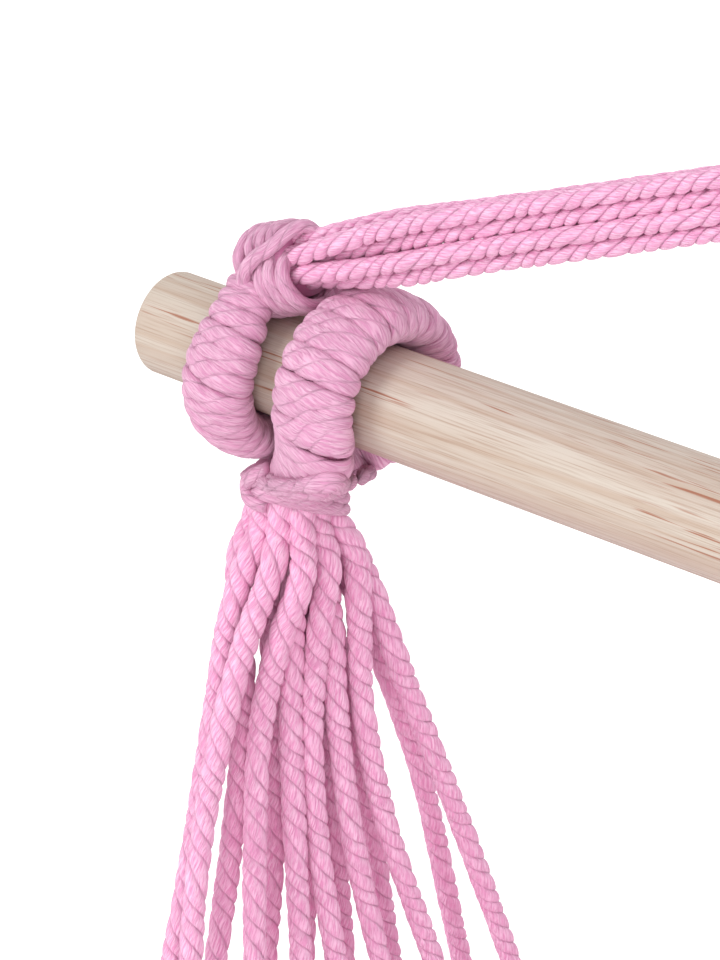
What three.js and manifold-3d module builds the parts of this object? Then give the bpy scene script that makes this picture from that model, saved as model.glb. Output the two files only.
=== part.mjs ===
// Hammock chair: a round wooden spreader bar, hung from wrapped rope eyes, and a slung cotton seat.
// Millimetres, +Z up, X along the bar, the front faces -Y.
// The origin is the hanging point: the inside of the top of the eye that goes over a hook.
import * as THREE from 'three';
import Module from 'manifold-3d';
import { mergeVertices } from 'three/addons/utils/BufferGeometryUtils.js';

const wasm = await Module();
wasm.setup();

// Spreader bar
const BAR_LENGTH = 1000;
const BAR_DIAMETER = 30;
const BAR_END_ROUND = 1.2;
const BAR_SIDES = 36;

// Cord: three-strand cotton, the same in the hangers, the seat cords and the wraps
const CORD_DIAMETER = 5;
const CORD_GAP = 0.3;
const CORD_SIDES = 8;
const CORD_PITCH = CORD_DIAMETER + CORD_GAP;
const HEX_ROW = CORD_PITCH * Math.sqrt(0.75);

// Wraps round the eyes and necks
const WRAP_THICKNESS = 3;
const WHIPPING_THICKNESS = 4;
const WRAP_GAP = 0.5;
const WRAP_SIDES = 4;
const FIT = 0.3;
const EYE_TURNS = 17;
const EYE_STEPS_PER_TURN = 8;
const NECK_TURNS = 4;
const NECK_STEPS_PER_TURN = 10;
const NECK_LENGTH = 17;
const CORE_STEPS = 26;
const CORE_FIT = 0.7;
const LEFT_HANDED = -1;
const WHIPPING_START = 2.8;

// Eye at the end of a hanger: a loop round the bar, with its neck pointing up the hanger
const HANGER_EYE_THICKNESS = 13.6;
const HANGER_EYE_WIDTH = 23;
const HANGER_EYE_INSET = 37;
const HANGER_EYE_SLANT = 3;
const HANGER_NECK_INSET = 56;
const HANGER_NECK_RISE = 34;
const HANGER_LEG_GAP = 5;
const HANGER_LEG_THICKNESS = 11.2;
const HANGER_LEG_WIDTH = 15;
const HANGER_BARE_LEG = 9;

// Eye of the seat cords: a loop round the bar, inboard of the hanger eye, with its neck below
const SEAT_EYE_THICKNESS = 14.4;
const SEAT_EYE_WIDTH = 26;
const SEAT_EYE_INSET = 75.5;
const SEAT_NECK_INSET = 48;
const SEAT_NECK_DROP = 30;
const SEAT_LEG_INSET = 55;
const SEAT_LEG_GAP = 7.5;
const SEAT_LEG_THICKNESS = 12;
const SEAT_LEG_WIDTH = 17;
const SEAT_BARE_LEG = 7;

// Hangers
const HANGER_ANGLE = 20.6 * Math.PI / 180;
const HANGER_BEND_RADIUS = 32;
const RIBBON_START = 55;
const RIBBON_END = 100;

// Top eye, sized for a hook or a carabiner
const TOP_EYE_OPENING = 44;
const TOP_EYE_THICKNESS = 17;
const TOP_EYE_WIDTH = 20;
const TOP_NECK_DROP = 48;
const TOP_LEG_GAP = 8;
const TOP_LEG_THICKNESS = 14;
const TOP_BARE_LEG = 6;

// Seat
const SEAT_CORD_DROP = 500;
const FABRIC_WIDTH = 1100;
const FABRIC_THICKNESS = 2.4;
const HEM_THICKNESS = 7;
const HEM_HALF_LENGTH = 165;
const HEM_CORD_GAP = 0.8;
const FOLD_COUNT = 7;
const FOLD_DEPTH_AT_HEM = 17;
const FOLD_DEPTH_FULL = 30;
const FOLD_DEPTH_MIDDLE = 17;
const FABRIC_EDGE_ANGLE = 82 * Math.PI / 180;
const FABRIC_FAN_ANGLE = 38 * Math.PI / 180;
const FABRIC_ROWS = 14;
const CURVE_POWER = 1.4;
const CORD_FAN_POWER = 1.3;
const HEM_FOLD_SHARE = 0.22;
const MIDDLE_FOLD_SHARE = 0.8;

const COTTON = 0xe9a9ce;
const COTTON_DARK = 0xd889b6;
const PINE = 0xe6d5bd;
const COTTON_ROUGHNESS = 0.95;
const PINE_ROUGHNESS = 0.6;

const material = (color, roughness) => new THREE.MeshStandardMaterial({ color, roughness, metalness: 0 });
const vec = (x, y, z) => new THREE.Vector3(x, y, z);
const lerp = THREE.MathUtils.lerp;
const smooth = (x) => THREE.MathUtils.smoothstep(x, 0, 1);

// Geometry helpers
function orientOutward(positions, faces) {
  let volume = 0;
  for (const [a, b, c] of faces) {
    volume += positions[a].dot(vec(0, 0, 0).crossVectors(positions[b], positions[c]));
  }
  const index = faces.flatMap(([a, b, c]) => (volume > 0 ? [a, b, c] : [a, c, b]));
  const geometry = new THREE.BufferGeometry();
  const numbers = positions.flatMap((p) => [p.x, p.y, p.z]);
  geometry.setAttribute('position', new THREE.Float32BufferAttribute(numbers, 3));
  geometry.setIndex(index);
  return geometry;
}

// Joins rings of equal point counts into one closed body with flat ends.
function skinRings(rings) {
  const sides = rings[0].length;
  const faces = [];
  for (let i = 0; i + 1 < rings.length; i++) {
    for (let k = 0; k < sides; k++) {
      const a = i * sides + k;
      const b = i * sides + (k + 1) % sides;
      faces.push([a, b, b + sides], [a, b + sides, a + sides]);
    }
  }
  const last = (rings.length - 1) * sides;
  for (let k = 1; k + 1 < sides; k++) faces.push([0, k + 1, k], [last, last + k, last + k + 1]);
  return orientOutward(rings.flat(), faces);
}

function solidOf(geometry) {
  const bare = geometry.clone();
  bare.deleteAttribute('normal');
  bare.deleteAttribute('uv');
  const merged = mergeVertices(bare);
  const triVerts = new Uint32Array(merged.index.array);
  const vertProperties = merged.attributes.position.array;
  return new wasm.Manifold(new wasm.Mesh({ numProp: 3, vertProperties, triVerts }));
}

function geometryOf(solid) {
  const mesh = solid.getMesh();
  const geometry = new THREE.BufferGeometry();
  geometry.setAttribute('position', new THREE.BufferAttribute(new Float32Array(mesh.vertProperties), 3));
  geometry.setIndex(new THREE.BufferAttribute(new Uint32Array(mesh.triVerts), 1));
  return geometry;
}

// A round cord through points. Its ends are square to the given axes, and its sections to the route.
function cordGeometry({ points, startAxis, endAxis }, diameter) {
  const last = points.length - 1;
  const rings = points.map((point, i) => {
    const chord = points[Math.min(i + 1, last)].clone().sub(points[Math.max(i - 1, 0)]).normalize();
    const tangent = i === 0 ? startAxis : i === last ? endAxis : chord;
    const side = vec(0, 1, 0).addScaledVector(tangent, -tangent.y).normalize();
    const up = vec(0, 0, 0).crossVectors(tangent, side);
    return Array.from({ length: CORD_SIDES }, (_, k) => {
      const angle = (k + 0.5) * 2 * Math.PI / CORD_SIDES;
      return point.clone()
        .addScaledVector(side, Math.cos(angle) * diameter / 2)
        .addScaledVector(up, Math.sin(angle) * diameter / 2);
    });
  });
  return skinRings(rings);
}

// Eyes: a loop of bundled cord round a hub, whose two legs meet in a neck
// A place is (a, h, w): across the hub, towards the neck, and along the hub from the bar's end.
class Eye {
  constructor(spec) {
    Object.assign(this, spec);
    this.radius = this.hubRadius + FIT + this.thickness / 2;
    const places = [];
    const thins = [];
    const addLeg = (sign) => {
      places.push([sign * this.legGap, this.neck.h, this.legInset]);
      thins.push([sign, 0, 0]);
    };
    addLeg(-1);
    for (const share of this.ringShares) {
      const angle = share * Math.PI;
      places.push([this.radius * Math.sin(angle), -this.radius * Math.cos(angle), this.along(angle)]);
      thins.push([Math.sin(angle), -Math.cos(angle), 0]);
    }
    addLeg(1);
    this.route = new THREE.CatmullRomCurve3(places.map((p) => this.place(...p)), false, 'centripetal');
    this.thin = new THREE.CatmullRomCurve3(thins.map((p) => this.turn(...p)), false, 'centripetal');
    this.length = this.route.getLength();
  }

  turn(a, h, w) {
    return vec(0, 0, 0)
      .addScaledVector(this.across, a)
      .addScaledVector(this.toNeck, h)
      .addScaledVector(this.hubAxis, w);
  }

  place(a, h, w) {
    return this.turn(a, h, w).add(this.hub);
  }

  // Centre, thin and wide directions and half sizes at a share of the route's length
  frameAt(share) {
    const t = this.route.getUtoTmapping(share);
    const centre = this.route.getPoint(t);
    const tangent = this.route.getTangent(t);
    const raw = this.thin.getPoint(t);
    const thin = raw.addScaledVector(tangent, -raw.dot(tangent)).normalize();
    const wide = vec(0, 0, 0).crossVectors(tangent, thin);
    const taper = smooth(Math.min(share, 1 - share) / this.taperShare);
    const halfWidth = lerp(this.legWidth, this.width, taper) / 2;
    const halfThickness = lerp(this.legThickness, this.thickness, taper) / 2;
    return { centre, tangent, thin, wide, halfWidth, halfThickness };
  }

  // A point on the oval a given depth inside the eye's outer surface, and its outward direction
  ovalPoint(share, angle, depth) {
    const f = this.frameAt(share);
    const thinRadius = f.halfThickness - depth;
    const wideRadius = f.halfWidth - depth;
    const point = f.centre.clone()
      .addScaledVector(f.thin, thinRadius * Math.cos(angle))
      .addScaledVector(f.wide, wideRadius * Math.sin(angle));
    const outward = vec(0, 0, 0)
      .addScaledVector(f.thin, Math.cos(angle) / thinRadius)
      .addScaledVector(f.wide, Math.sin(angle) / wideRadius)
      .normalize();
    return { point, outward, tangent: f.tangent };
  }

  neckDirection() {
    return this.turn(0, this.neck.direction[0], this.neck.direction[1]).normalize();
  }

  neckStart() {
    return this.place(0, this.neck.h, this.neck.w);
  }

  neckEnd() {
    return this.neckStart().addScaledVector(this.neckDirection(), NECK_LENGTH);
  }

  // The bundle inside the wraps: the loop and the stub of its neck as one body
  coreGeometry() {
    const rings = [];
    for (let i = 0; i <= CORE_STEPS; i++) {
      const share = i / CORE_STEPS;
      rings.push(Array.from({ length: EYE_STEPS_PER_TURN }, (_, k) => {
        const angle = 2 * Math.PI * k / EYE_STEPS_PER_TURN;
        return this.ovalPoint(share, angle, WRAP_THICKNESS + CORE_FIT).point;
      }));
    }
    const stub = skinRings([0, NECK_LENGTH].map((along) => this.neckRing(along, this.neck.bundleRadius)));
    return geometryOf(solidOf(skinRings(rings)).add(solidOf(stub)));
  }

  neckRing(along, radius) {
    const axis = this.neckDirection();
    const side = this.across.clone();
    const up = vec(0, 0, 0).crossVectors(axis, side);
    const centre = this.neckStart().addScaledVector(axis, along);
    return Array.from({ length: NECK_STEPS_PER_TURN }, (_, k) => {
      const angle = 2 * Math.PI * k / NECK_STEPS_PER_TURN;
      return centre.clone()
        .addScaledVector(side, radius * Math.cos(angle))
        .addScaledVector(up, radius * Math.sin(angle));
    });
  }

  // One unbroken wrap round the loop, from leg to leg
  wrapGeometry() {
    const start = this.bareLeg / this.length;
    const pathAt = (turn) => {
      const share = lerp(start, 1 - start, turn / EYE_TURNS);
      return this.ovalPoint(share, LEFT_HANDED * 2 * Math.PI * turn, WRAP_THICKNESS / 2);
    };
    const shape = { turns: EYE_TURNS, stepsPerTurn: EYE_STEPS_PER_TURN, thickness: WRAP_THICKNESS };
    return windingGeometry(pathAt, shape, `${this.name}_wrap`);
  }

  // One unbroken whipping round the neck
  whippingGeometry() {
    const axis = this.neckDirection();
    const side = this.across.clone();
    const up = vec(0, 0, 0).crossVectors(axis, side);
    const pitch = (NECK_LENGTH - WHIPPING_START) / (NECK_TURNS + 1);
    const radius = this.neck.bundleRadius + FIT + WHIPPING_THICKNESS / 2;
    const pathAt = (turn) => {
      const angle = LEFT_HANDED * 2 * Math.PI * turn;
      const outward = side.clone().multiplyScalar(Math.cos(angle)).addScaledVector(up, Math.sin(angle));
      const along = WHIPPING_START + pitch * (turn + 0.5);
      const point = this.neckStart().addScaledVector(axis, along).addScaledVector(outward, radius);
      return { point, outward, tangent: axis };
    };
    const shape = { turns: NECK_TURNS, stepsPerTurn: NECK_STEPS_PER_TURN, thickness: WHIPPING_THICKNESS };
    return windingGeometry(pathAt, shape, `${this.name}_whipping`);
  }
}

// A tube along a winding path. Each ring is as wide as the room to the next turn allows.
function windingGeometry(pathAt, { turns, stepsPerTurn, thickness }, name) {
  const steps = Math.round(turns * stepsPerTurn);
  const rings = [];
  for (let i = 0; i <= steps; i++) {
    const turn = i / stepsPerTurn;
    const { point, outward, tangent } = pathAt(turn);
    const room = Math.min(
      turn >= 1 ? point.distanceTo(pathAt(turn - 1).point) : Infinity,
      turn <= turns - 1 ? point.distanceTo(pathAt(turn + 1).point) : Infinity,
    );
    const halfWidth = (room - WRAP_GAP) / 2;
    rings.push(Array.from({ length: WRAP_SIDES }, (_, k) => {
      const angle = 2 * Math.PI * k / WRAP_SIDES;
      return point.clone()
        .addScaledVector(outward, Math.cos(angle) * thickness / 2)
        .addScaledVector(tangent, Math.sin(angle) * halfWidth);
    }));
  }
  printLeastGap(rings, stepsPerTurn, name);
  return skinRings(rings);
}

// The least gap between turns, measured between points on the ring edges
function printLeastGap(rings, stepsPerTurn, name) {
  const samples = rings.map((ring) => ring.flatMap((p, k) => {
    const next = ring[(k + 1) % ring.length];
    return [0, 0.25, 0.5, 0.75].map((share) => p.clone().lerp(next, share));
  }));
  let least = Infinity;
  let place = 0;
  for (let i = 0; i < samples.length; i++) {
    for (let j = i + Math.ceil(stepsPerTurn / 2); j < samples.length; j++) {
      for (const p of samples[i]) {
        for (const q of samples[j]) {
          if (p.distanceTo(q) >= least) continue;
          least = p.distanceTo(q);
          place = i / stepsPerTurn;
        }
      }
    }
  }
  console.log(`${name}: least gap ${least.toFixed(2)} mm, at turn ${place.toFixed(1)}`);
}

// Hanger cord slots, in one order: in the neck, in the flat ribbon and in the top neck
const SEVEN_SLOTS = [
  [-HEX_ROW, CORD_PITCH / 2], [-HEX_ROW, -CORD_PITCH / 2], [0, CORD_PITCH], [0, 0], [0, -CORD_PITCH],
  [HEX_ROW, CORD_PITCH / 2], [HEX_ROW, -CORD_PITCH / 2],
];
const RIBBON_SHARES = [
  [-0.74, 1.31], [-0.74, -0.45], [0.62, 1.32], [-0.25, 0.43], [-0.25, -1.33], [0.76, 0.3], [0.76, -0.72],
];
const RIBBON_SLOTS = RIBBON_SHARES.map(([y, n]) => [y * CORD_PITCH, n * CORD_PITCH]);
const TOP_INNER = -HEX_ROW / 2;
const TOP_SLOTS = [
  [-CORD_PITCH, -TOP_INNER], [-1.5 * CORD_PITCH, TOP_INNER], [CORD_PITCH, -TOP_INNER], [0, -TOP_INNER],
  [-0.5 * CORD_PITCH, TOP_INNER], [0.5 * CORD_PITCH, TOP_INNER], [1.5 * CORD_PITCH, TOP_INNER],
];
const RIBBON_BULGE_SHARE = 0.8;
const TOP_BULGE_SHARE = 1.7;
const NECK_TO_RIBBON_SHARES = [0, 0.06, 0.3, 0.65, 1];
const RIBBON_TO_TOP_SHARES = [0, 0.33, 0.67, 1];
const BEND_SHARES = [0.25, 0.5, 0.75, 1];

// Seat cords: places as shares of the drop. There the bundle spreads, the cords loosen into two layers,
// and each sways a little. Loose places and sways are in shares of the pitch.
const SEAT_CORD_SHARES = [0, 0.02, 0.06, 0.12, 0.2, 0.34, 0.6, 1];
const SEAT_SPREAD_SHARES = [0, 0.6, 0.9, 0.6, 0.3, 0, 0, 0];
const SEAT_LOOSE_SHARES = [0, 0, 0.55, 1, 1, 0.6, 0.15, 0];
const SEAT_SWAY_SHARES = [0, 0, 0.2, 0.6, 1, 0.7, 0.2, 0];
const LOOSE_STEP_SHARES = [0.28, 0.25];
const LOOSE_LAYER_SHARES = [0.42, -0.46];
const SWAY_OF_PITCH_SHARES = [0.9, -1.7, 0.9, -0.2, 1.25, 0, 0.7, -1.2, -0.2, -1.6, -0.4, -2, 0.9, 0];

const SEVEN_RADIUS = CORD_PITCH + CORD_DIAMETER / 2;
const OUTER_COLUMN = CORD_PITCH / 2 + HEX_ROW;
const FOURTEEN_RADIUS = Math.hypot(OUTER_COLUMN, CORD_PITCH) + CORD_DIAMETER / 2;

// Top eye: a free loop over the hook, its neck below
const topEye = new Eye({
  name: 'top_eye',
  hub: vec(0, 0, -TOP_EYE_OPENING / 2),
  across: vec(1, 0, 0),
  toNeck: vec(0, 0, -1),
  hubAxis: vec(0, 1, 0),
  hubRadius: TOP_EYE_OPENING / 2 - FIT,
  thickness: TOP_EYE_THICKNESS,
  width: TOP_EYE_WIDTH,
  ringShares: [-0.62, -0.5, -0.33, -0.17, 0, 0.17, 0.33, 0.5, 0.62],
  along: () => 0,
  taperShare: 0.2,
  legInset: 0,
  legGap: TOP_LEG_GAP,
  legWidth: TOP_EYE_WIDTH,
  legThickness: TOP_LEG_THICKNESS,
  bareLeg: TOP_BARE_LEG,
  neck: { h: TOP_NECK_DROP, w: 0, direction: [1, 0], bundleRadius: FOURTEEN_RADIUS },
});

// The hangers run from the top neck, round a bend and down to the bar's ends.
const INNER_COLUMN_PLACE = CORD_PITCH / 2;
const BUNDLE_AT_TOP = INNER_COLUMN_PLACE - TOP_INNER;
const BEND_END_Z = topEye.neckEnd().z - CORD_GAP;
const BEND_TURN = Math.PI / 2 - HANGER_ANGLE;
const BEND_CENTRE = { p: BUNDLE_AT_TOP + HANGER_BEND_RADIUS, z: BEND_END_Z - HANGER_BEND_RADIUS / 4 };
const bendStart = {
  p: BEND_CENTRE.p - HANGER_BEND_RADIUS * Math.sin(HANGER_ANGLE),
  z: BEND_CENTRE.z - HANGER_BEND_RADIUS * Math.cos(HANGER_ANGLE),
};
const neckEndP = BAR_LENGTH / 2 - HANGER_NECK_INSET;
const neckEndZ = bendStart.z - (neckEndP - bendStart.p) * Math.tan(HANGER_ANGLE);
const BAR_Z = neckEndZ - HANGER_NECK_RISE;
const STRAIGHT_LENGTH = (neckEndP - bendStart.p) / Math.cos(HANGER_ANGLE);

// The left end of the bar. The right end is its mirror image.
const leftEnd = { hub: vec(-BAR_LENGTH / 2, 0, BAR_Z), hubAxis: vec(1, 0, 0), across: vec(0, 1, 0) };

function makeHangerEye() {
  const direction = [Math.sin(HANGER_ANGLE), Math.cos(HANGER_ANGLE)];
  const neckH = HANGER_NECK_RISE - NECK_LENGTH * direction[0];
  const neckW = HANGER_NECK_INSET - NECK_LENGTH * direction[1];
  return new Eye({
    name: 'hanger_eye',
    ...leftEnd,
    toNeck: vec(0, 0, 1),
    hubRadius: BAR_DIAMETER / 2,
    thickness: HANGER_EYE_THICKNESS,
    width: HANGER_EYE_WIDTH,
    ringShares: [-0.66, -0.5, -0.33, -0.17, 0, 0.17, 0.33, 0.5, 0.66],
    along: (angle) => HANGER_EYE_INSET + HANGER_EYE_SLANT * (1 - Math.cos(angle)),
    taperShare: 0.22,
    legInset: neckW,
    legGap: HANGER_LEG_GAP,
    legWidth: HANGER_LEG_WIDTH,
    legThickness: HANGER_LEG_THICKNESS,
    bareLeg: HANGER_BARE_LEG,
    neck: { h: neckH, w: neckW, direction, bundleRadius: SEVEN_RADIUS },
  });
}

function makeSeatEye() {
  return new Eye({
    name: 'seat_eye',
    ...leftEnd,
    toNeck: vec(0, 0, -1),
    hubRadius: BAR_DIAMETER / 2,
    thickness: SEAT_EYE_THICKNESS,
    width: SEAT_EYE_WIDTH,
    ringShares: [-0.6, -0.5, -0.33, -0.17, 0, 0.17, 0.33, 0.5, 0.6],
    along: () => SEAT_EYE_INSET,
    taperShare: 0.25,
    legInset: SEAT_LEG_INSET,
    legGap: SEAT_LEG_GAP,
    legWidth: SEAT_LEG_WIDTH,
    legThickness: SEAT_LEG_THICKNESS,
    bareLeg: SEAT_BARE_LEG,
    neck: { h: SEAT_NECK_DROP, w: SEAT_NECK_INSET, direction: [1, 0], bundleRadius: FOURTEEN_RADIUS },
  });
}

// Hanger cords of the left end
function mix(from, to, share, bulgeShare) {
  const swell = 1 + bulgeShare * share * (1 - share);
  return from.map((value, i) => lerp(value, to[i], share) * swell);
}

function hangerRoute(index) {
  const neckSlot = SEVEN_SLOTS[index];
  const ribbonSlot = RIBBON_SLOTS[index];
  const topSlot = TOP_SLOTS[index];
  const points = [];
  const addStraight = (along, slot) => {
    const [y, n] = slot;
    const p = neckEndP - along * Math.cos(HANGER_ANGLE) + n * Math.sin(HANGER_ANGLE);
    const z = neckEndZ + along * Math.sin(HANGER_ANGLE) + n * Math.cos(HANGER_ANGLE);
    points.push(vec(-p, y, z));
  };
  for (const share of NECK_TO_RIBBON_SHARES) {
    addStraight(CORD_GAP + share * RIBBON_START, mix(neckSlot, ribbonSlot, share, RIBBON_BULGE_SHARE));
  }
  for (const share of RIBBON_TO_TOP_SHARES) {
    const along = STRAIGHT_LENGTH - RIBBON_END * (1 - share);
    addStraight(along, mix(ribbonSlot, topSlot, share, TOP_BULGE_SHARE));
  }
  for (const share of BEND_SHARES) {
    const angle = HANGER_ANGLE + share * BEND_TURN;
    const reach = HANGER_BEND_RADIUS - topSlot[1];
    const x = reach * Math.sin(angle) - BEND_CENTRE.p;
    points.push(vec(x, topSlot[0], BEND_CENTRE.z - reach * Math.cos(angle)));
  }
  points.push(vec(-BUNDLE_AT_TOP - topSlot[1], topSlot[0], BEND_END_Z));
  const startAxis = vec(Math.cos(HANGER_ANGLE), 0, Math.sin(HANGER_ANGLE));
  return { points, startAxis, endAxis: vec(0, 0, 1) };
}

// Seat profile across the chair: its slope grows from the middle to the hem.
const PROFILE_STEPS = 200;
function profileAt(share) {
  const half = FABRIC_WIDTH / 2;
  const step = half * share / PROFILE_STEPS;
  let out = 0;
  let rise = 0;
  for (let i = 0; i < PROFILE_STEPS; i++) {
    const angle = FABRIC_EDGE_ANGLE * (share * (i + 0.5) / PROFILE_STEPS) ** CURVE_POWER;
    out += Math.cos(angle) * step;
    rise += Math.sin(angle) * step;
  }
  return { out, rise, angle: FABRIC_EDGE_ANGLE * share ** CURVE_POWER };
}
const HEM_PLACE = profileAt(1);

// The hem lies on an arc below the seat neck, as the cords are all of one length.
const hangerEye = makeHangerEye();
const seatEye = makeSeatEye();
const SEAT_NECK = seatEye.neckEnd();
const hemHeight = (y) => SEAT_NECK.z - Math.sqrt(SEAT_CORD_DROP ** 2 - y ** 2);

// A point of the folded cloth. u runs from hem to hem, -1 to 1, and v from front to back, -1 to 1.
function clothPlace(u, v) {
  const { out, rise, angle } = profileAt(Math.abs(u));
  const depth = HEM_PLACE.rise - rise;
  const fan = FABRIC_FAN_ANGLE * v;
  const hemY = HEM_HALF_LENGTH * v;
  const side = Math.sign(u);
  const flat = Math.cos(angle);
  const point = vec(side * out, hemY + depth * Math.sin(fan), hemHeight(hemY) - depth * Math.cos(fan));
  const inward = vec(-side * Math.sin(angle), -Math.sin(fan) * flat, Math.cos(fan) * flat);
  const toHem = smooth((1 - Math.abs(u)) / HEM_FOLD_SHARE);
  const toMiddle = smooth((MIDDLE_FOLD_SHARE - Math.abs(u)) / MIDDLE_FOLD_SHARE);
  const amplitude = lerp(lerp(FOLD_DEPTH_AT_HEM, FOLD_DEPTH_FULL, toHem), FOLD_DEPTH_MIDDLE, toMiddle);
  const wave = Math.sin(Math.PI * FOLD_COUNT * (v + 1));
  return point.addScaledVector(inward.normalize(), -amplitude * wave);
}

function seatFabric() {
  const columns = FOLD_COUNT * 4;
  const perRow = columns + 1;
  const rows = [];
  for (let i = 0; i <= FABRIC_ROWS; i++) rows.push(Math.sin(Math.PI / 2 * (2 * i / FABRIC_ROWS - 1)));
  const place = (i, j) => clothPlace(rows[i], 2 * j / columns - 1);
  const grid = (side) => rows.flatMap((u, i) => Array.from({ length: perRow }, (_, j) => {
    const alongX = place(Math.min(i + 1, FABRIC_ROWS), j).sub(place(Math.max(i - 1, 0), j));
    const alongY = place(i, Math.min(j + 1, columns)).sub(place(i, Math.max(j - 1, 0)));
    const normal = vec(0, 0, 0).crossVectors(alongX, alongY).normalize();
    const atHem = i === 0 || i === FABRIC_ROWS;
    const thickness = atHem ? HEM_THICKNESS : FABRIC_THICKNESS;
    return place(i, j).addScaledVector(normal, side * thickness / 2);
  }));
  const positions = [...grid(1), ...grid(-1)];
  const layer = (FABRIC_ROWS + 1) * perRow;
  const faces = [];
  const quad = (a, b, c, d) => faces.push([a, b, c], [a, c, d]);
  for (let i = 0; i < FABRIC_ROWS; i++) {
    for (let j = 0; j < columns; j++) {
      const a = i * perRow + j;
      const b = a + perRow;
      quad(a, b, b + 1, a + 1);
      quad(layer + a, layer + a + 1, layer + b + 1, layer + b);
    }
  }
  for (let i = 0; i < FABRIC_ROWS; i++) {
    const a = i * perRow;
    const b = a + columns;
    quad(a, layer + a, layer + a + perRow, a + perRow);
    quad(b, b + perRow, layer + b + perRow, layer + b);
  }
  for (let j = 0; j < columns; j++) {
    const b = FABRIC_ROWS * perRow + j;
    quad(j, j + 1, layer + j + 1, layer + j);
    quad(b, layer + b, layer + b + 1, b + 1);
  }
  return orientOutward(positions, faces);
}

// Seat cords: fourteen a side, from the neck's four columns to the crests of the folded hem
function seatCordRoute(index) {
  const row = Math.floor(index / 2);
  const column = row % 2 === 0 ? CORD_PITCH / 2 : OUTER_COLUMN;
  const outboard = index % 2 === 0;
  const slot = [outboard ? -column : column, (row - 3) * CORD_PITCH / 2];
  const middle = FOLD_COUNT - 0.5;
  const loose = LOOSE_STEP_SHARES.map((step, axis) => {
    const layer = outboard ? -LOOSE_LAYER_SHARES[axis] : LOOSE_LAYER_SHARES[axis];
    return ((index - middle) * step + layer) * CORD_PITCH;
  });
  const crest = clothPlace(-1, (2 * index + 1) / (2 * FOLD_COUNT) - 1);
  const lean = crest.y / SEAT_CORD_DROP;
  const endAxis = vec(0, lean, -Math.sqrt(1 - lean ** 2));
  const end = crest.clone().addScaledVector(endAxis, -HEM_CORD_GAP);
  const points = SEAT_CORD_SHARES.map((share, i) => {
    const fan = 1 - (1 - share) ** CORD_FAN_POWER;
    const spread = slot.map((value) => value * (1 + SEAT_SPREAD_SHARES[i]));
    const [x, y] = spread.map((value, axis) => lerp(value, loose[axis], SEAT_LOOSE_SHARES[i]));
    const sway = SEAT_SWAY_SHARES[i] * SWAY_OF_PITCH_SHARES[index] * CORD_PITCH;
    const z = lerp(SEAT_NECK.z - CORD_GAP, end.z, share);
    return vec(lerp(SEAT_NECK.x + x, end.x, share), lerp(y, end.y, fan) + sway, z);
  });
  return { points, startAxis: vec(0, 0, -1), endAxis };
}

function spreaderBar() {
  const radius = BAR_DIAMETER / 2;
  const half = BAR_LENGTH / 2;
  const profile = [[0, -half], [radius - BAR_END_ROUND, -half], [radius, -half + BAR_END_ROUND]];
  const outline = [...profile, ...profile.map(([r, x]) => [r, -x]).reverse()];
  const geometry = new THREE.LatheGeometry(outline.map(([r, x]) => new THREE.Vector2(r, x)), BAR_SIDES);
  geometry.rotateZ(-Math.PI / 2);
  geometry.translate(0, 0, BAR_Z);
  return geometry;
}

const chair = new THREE.Group();
function add(name, geometry, look) {
  const mesh = new THREE.Mesh(geometry, look.clone());
  mesh.name = name;
  chair.add(mesh);
}

function mirrored(geometry) {
  const mirror = solidOf(geometry).mirror([1, 0, 0]);
  return geometryOf(mirror);
}

function addPair(name, geometry, look) {
  add(`${name}_left`, geometry, look);
  add(`${name}_right`, mirrored(geometry), look);
}

function addEye(eye, place) {
  place(`${eye.name}_core`, eye.coreGeometry(), material(COTTON_DARK, COTTON_ROUGHNESS));
  place(`${eye.name}_wrap`, eye.wrapGeometry(), cotton);
  place(`${eye.name}_whipping`, eye.whippingGeometry(), cotton);
}

const cotton = material(COTTON, COTTON_ROUGHNESS);
add('spreader_bar', spreaderBar(), material(PINE, PINE_ROUGHNESS));
addEye(topEye, add);
addEye(hangerEye, addPair);
addEye(seatEye, addPair);
for (let i = 0; i < SEVEN_SLOTS.length; i++) {
  addPair(`hanger_cord_${i + 1}`, cordGeometry(hangerRoute(i), CORD_DIAMETER), cotton);
}
for (let i = 0; i < 2 * FOLD_COUNT; i++) {
  addPair(`seat_cord_${i + 1}`, cordGeometry(seatCordRoute(i), CORD_DIAMETER), cotton);
}
add('seat_fabric', seatFabric(), cotton);

export default chair;
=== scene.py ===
import math

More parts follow.
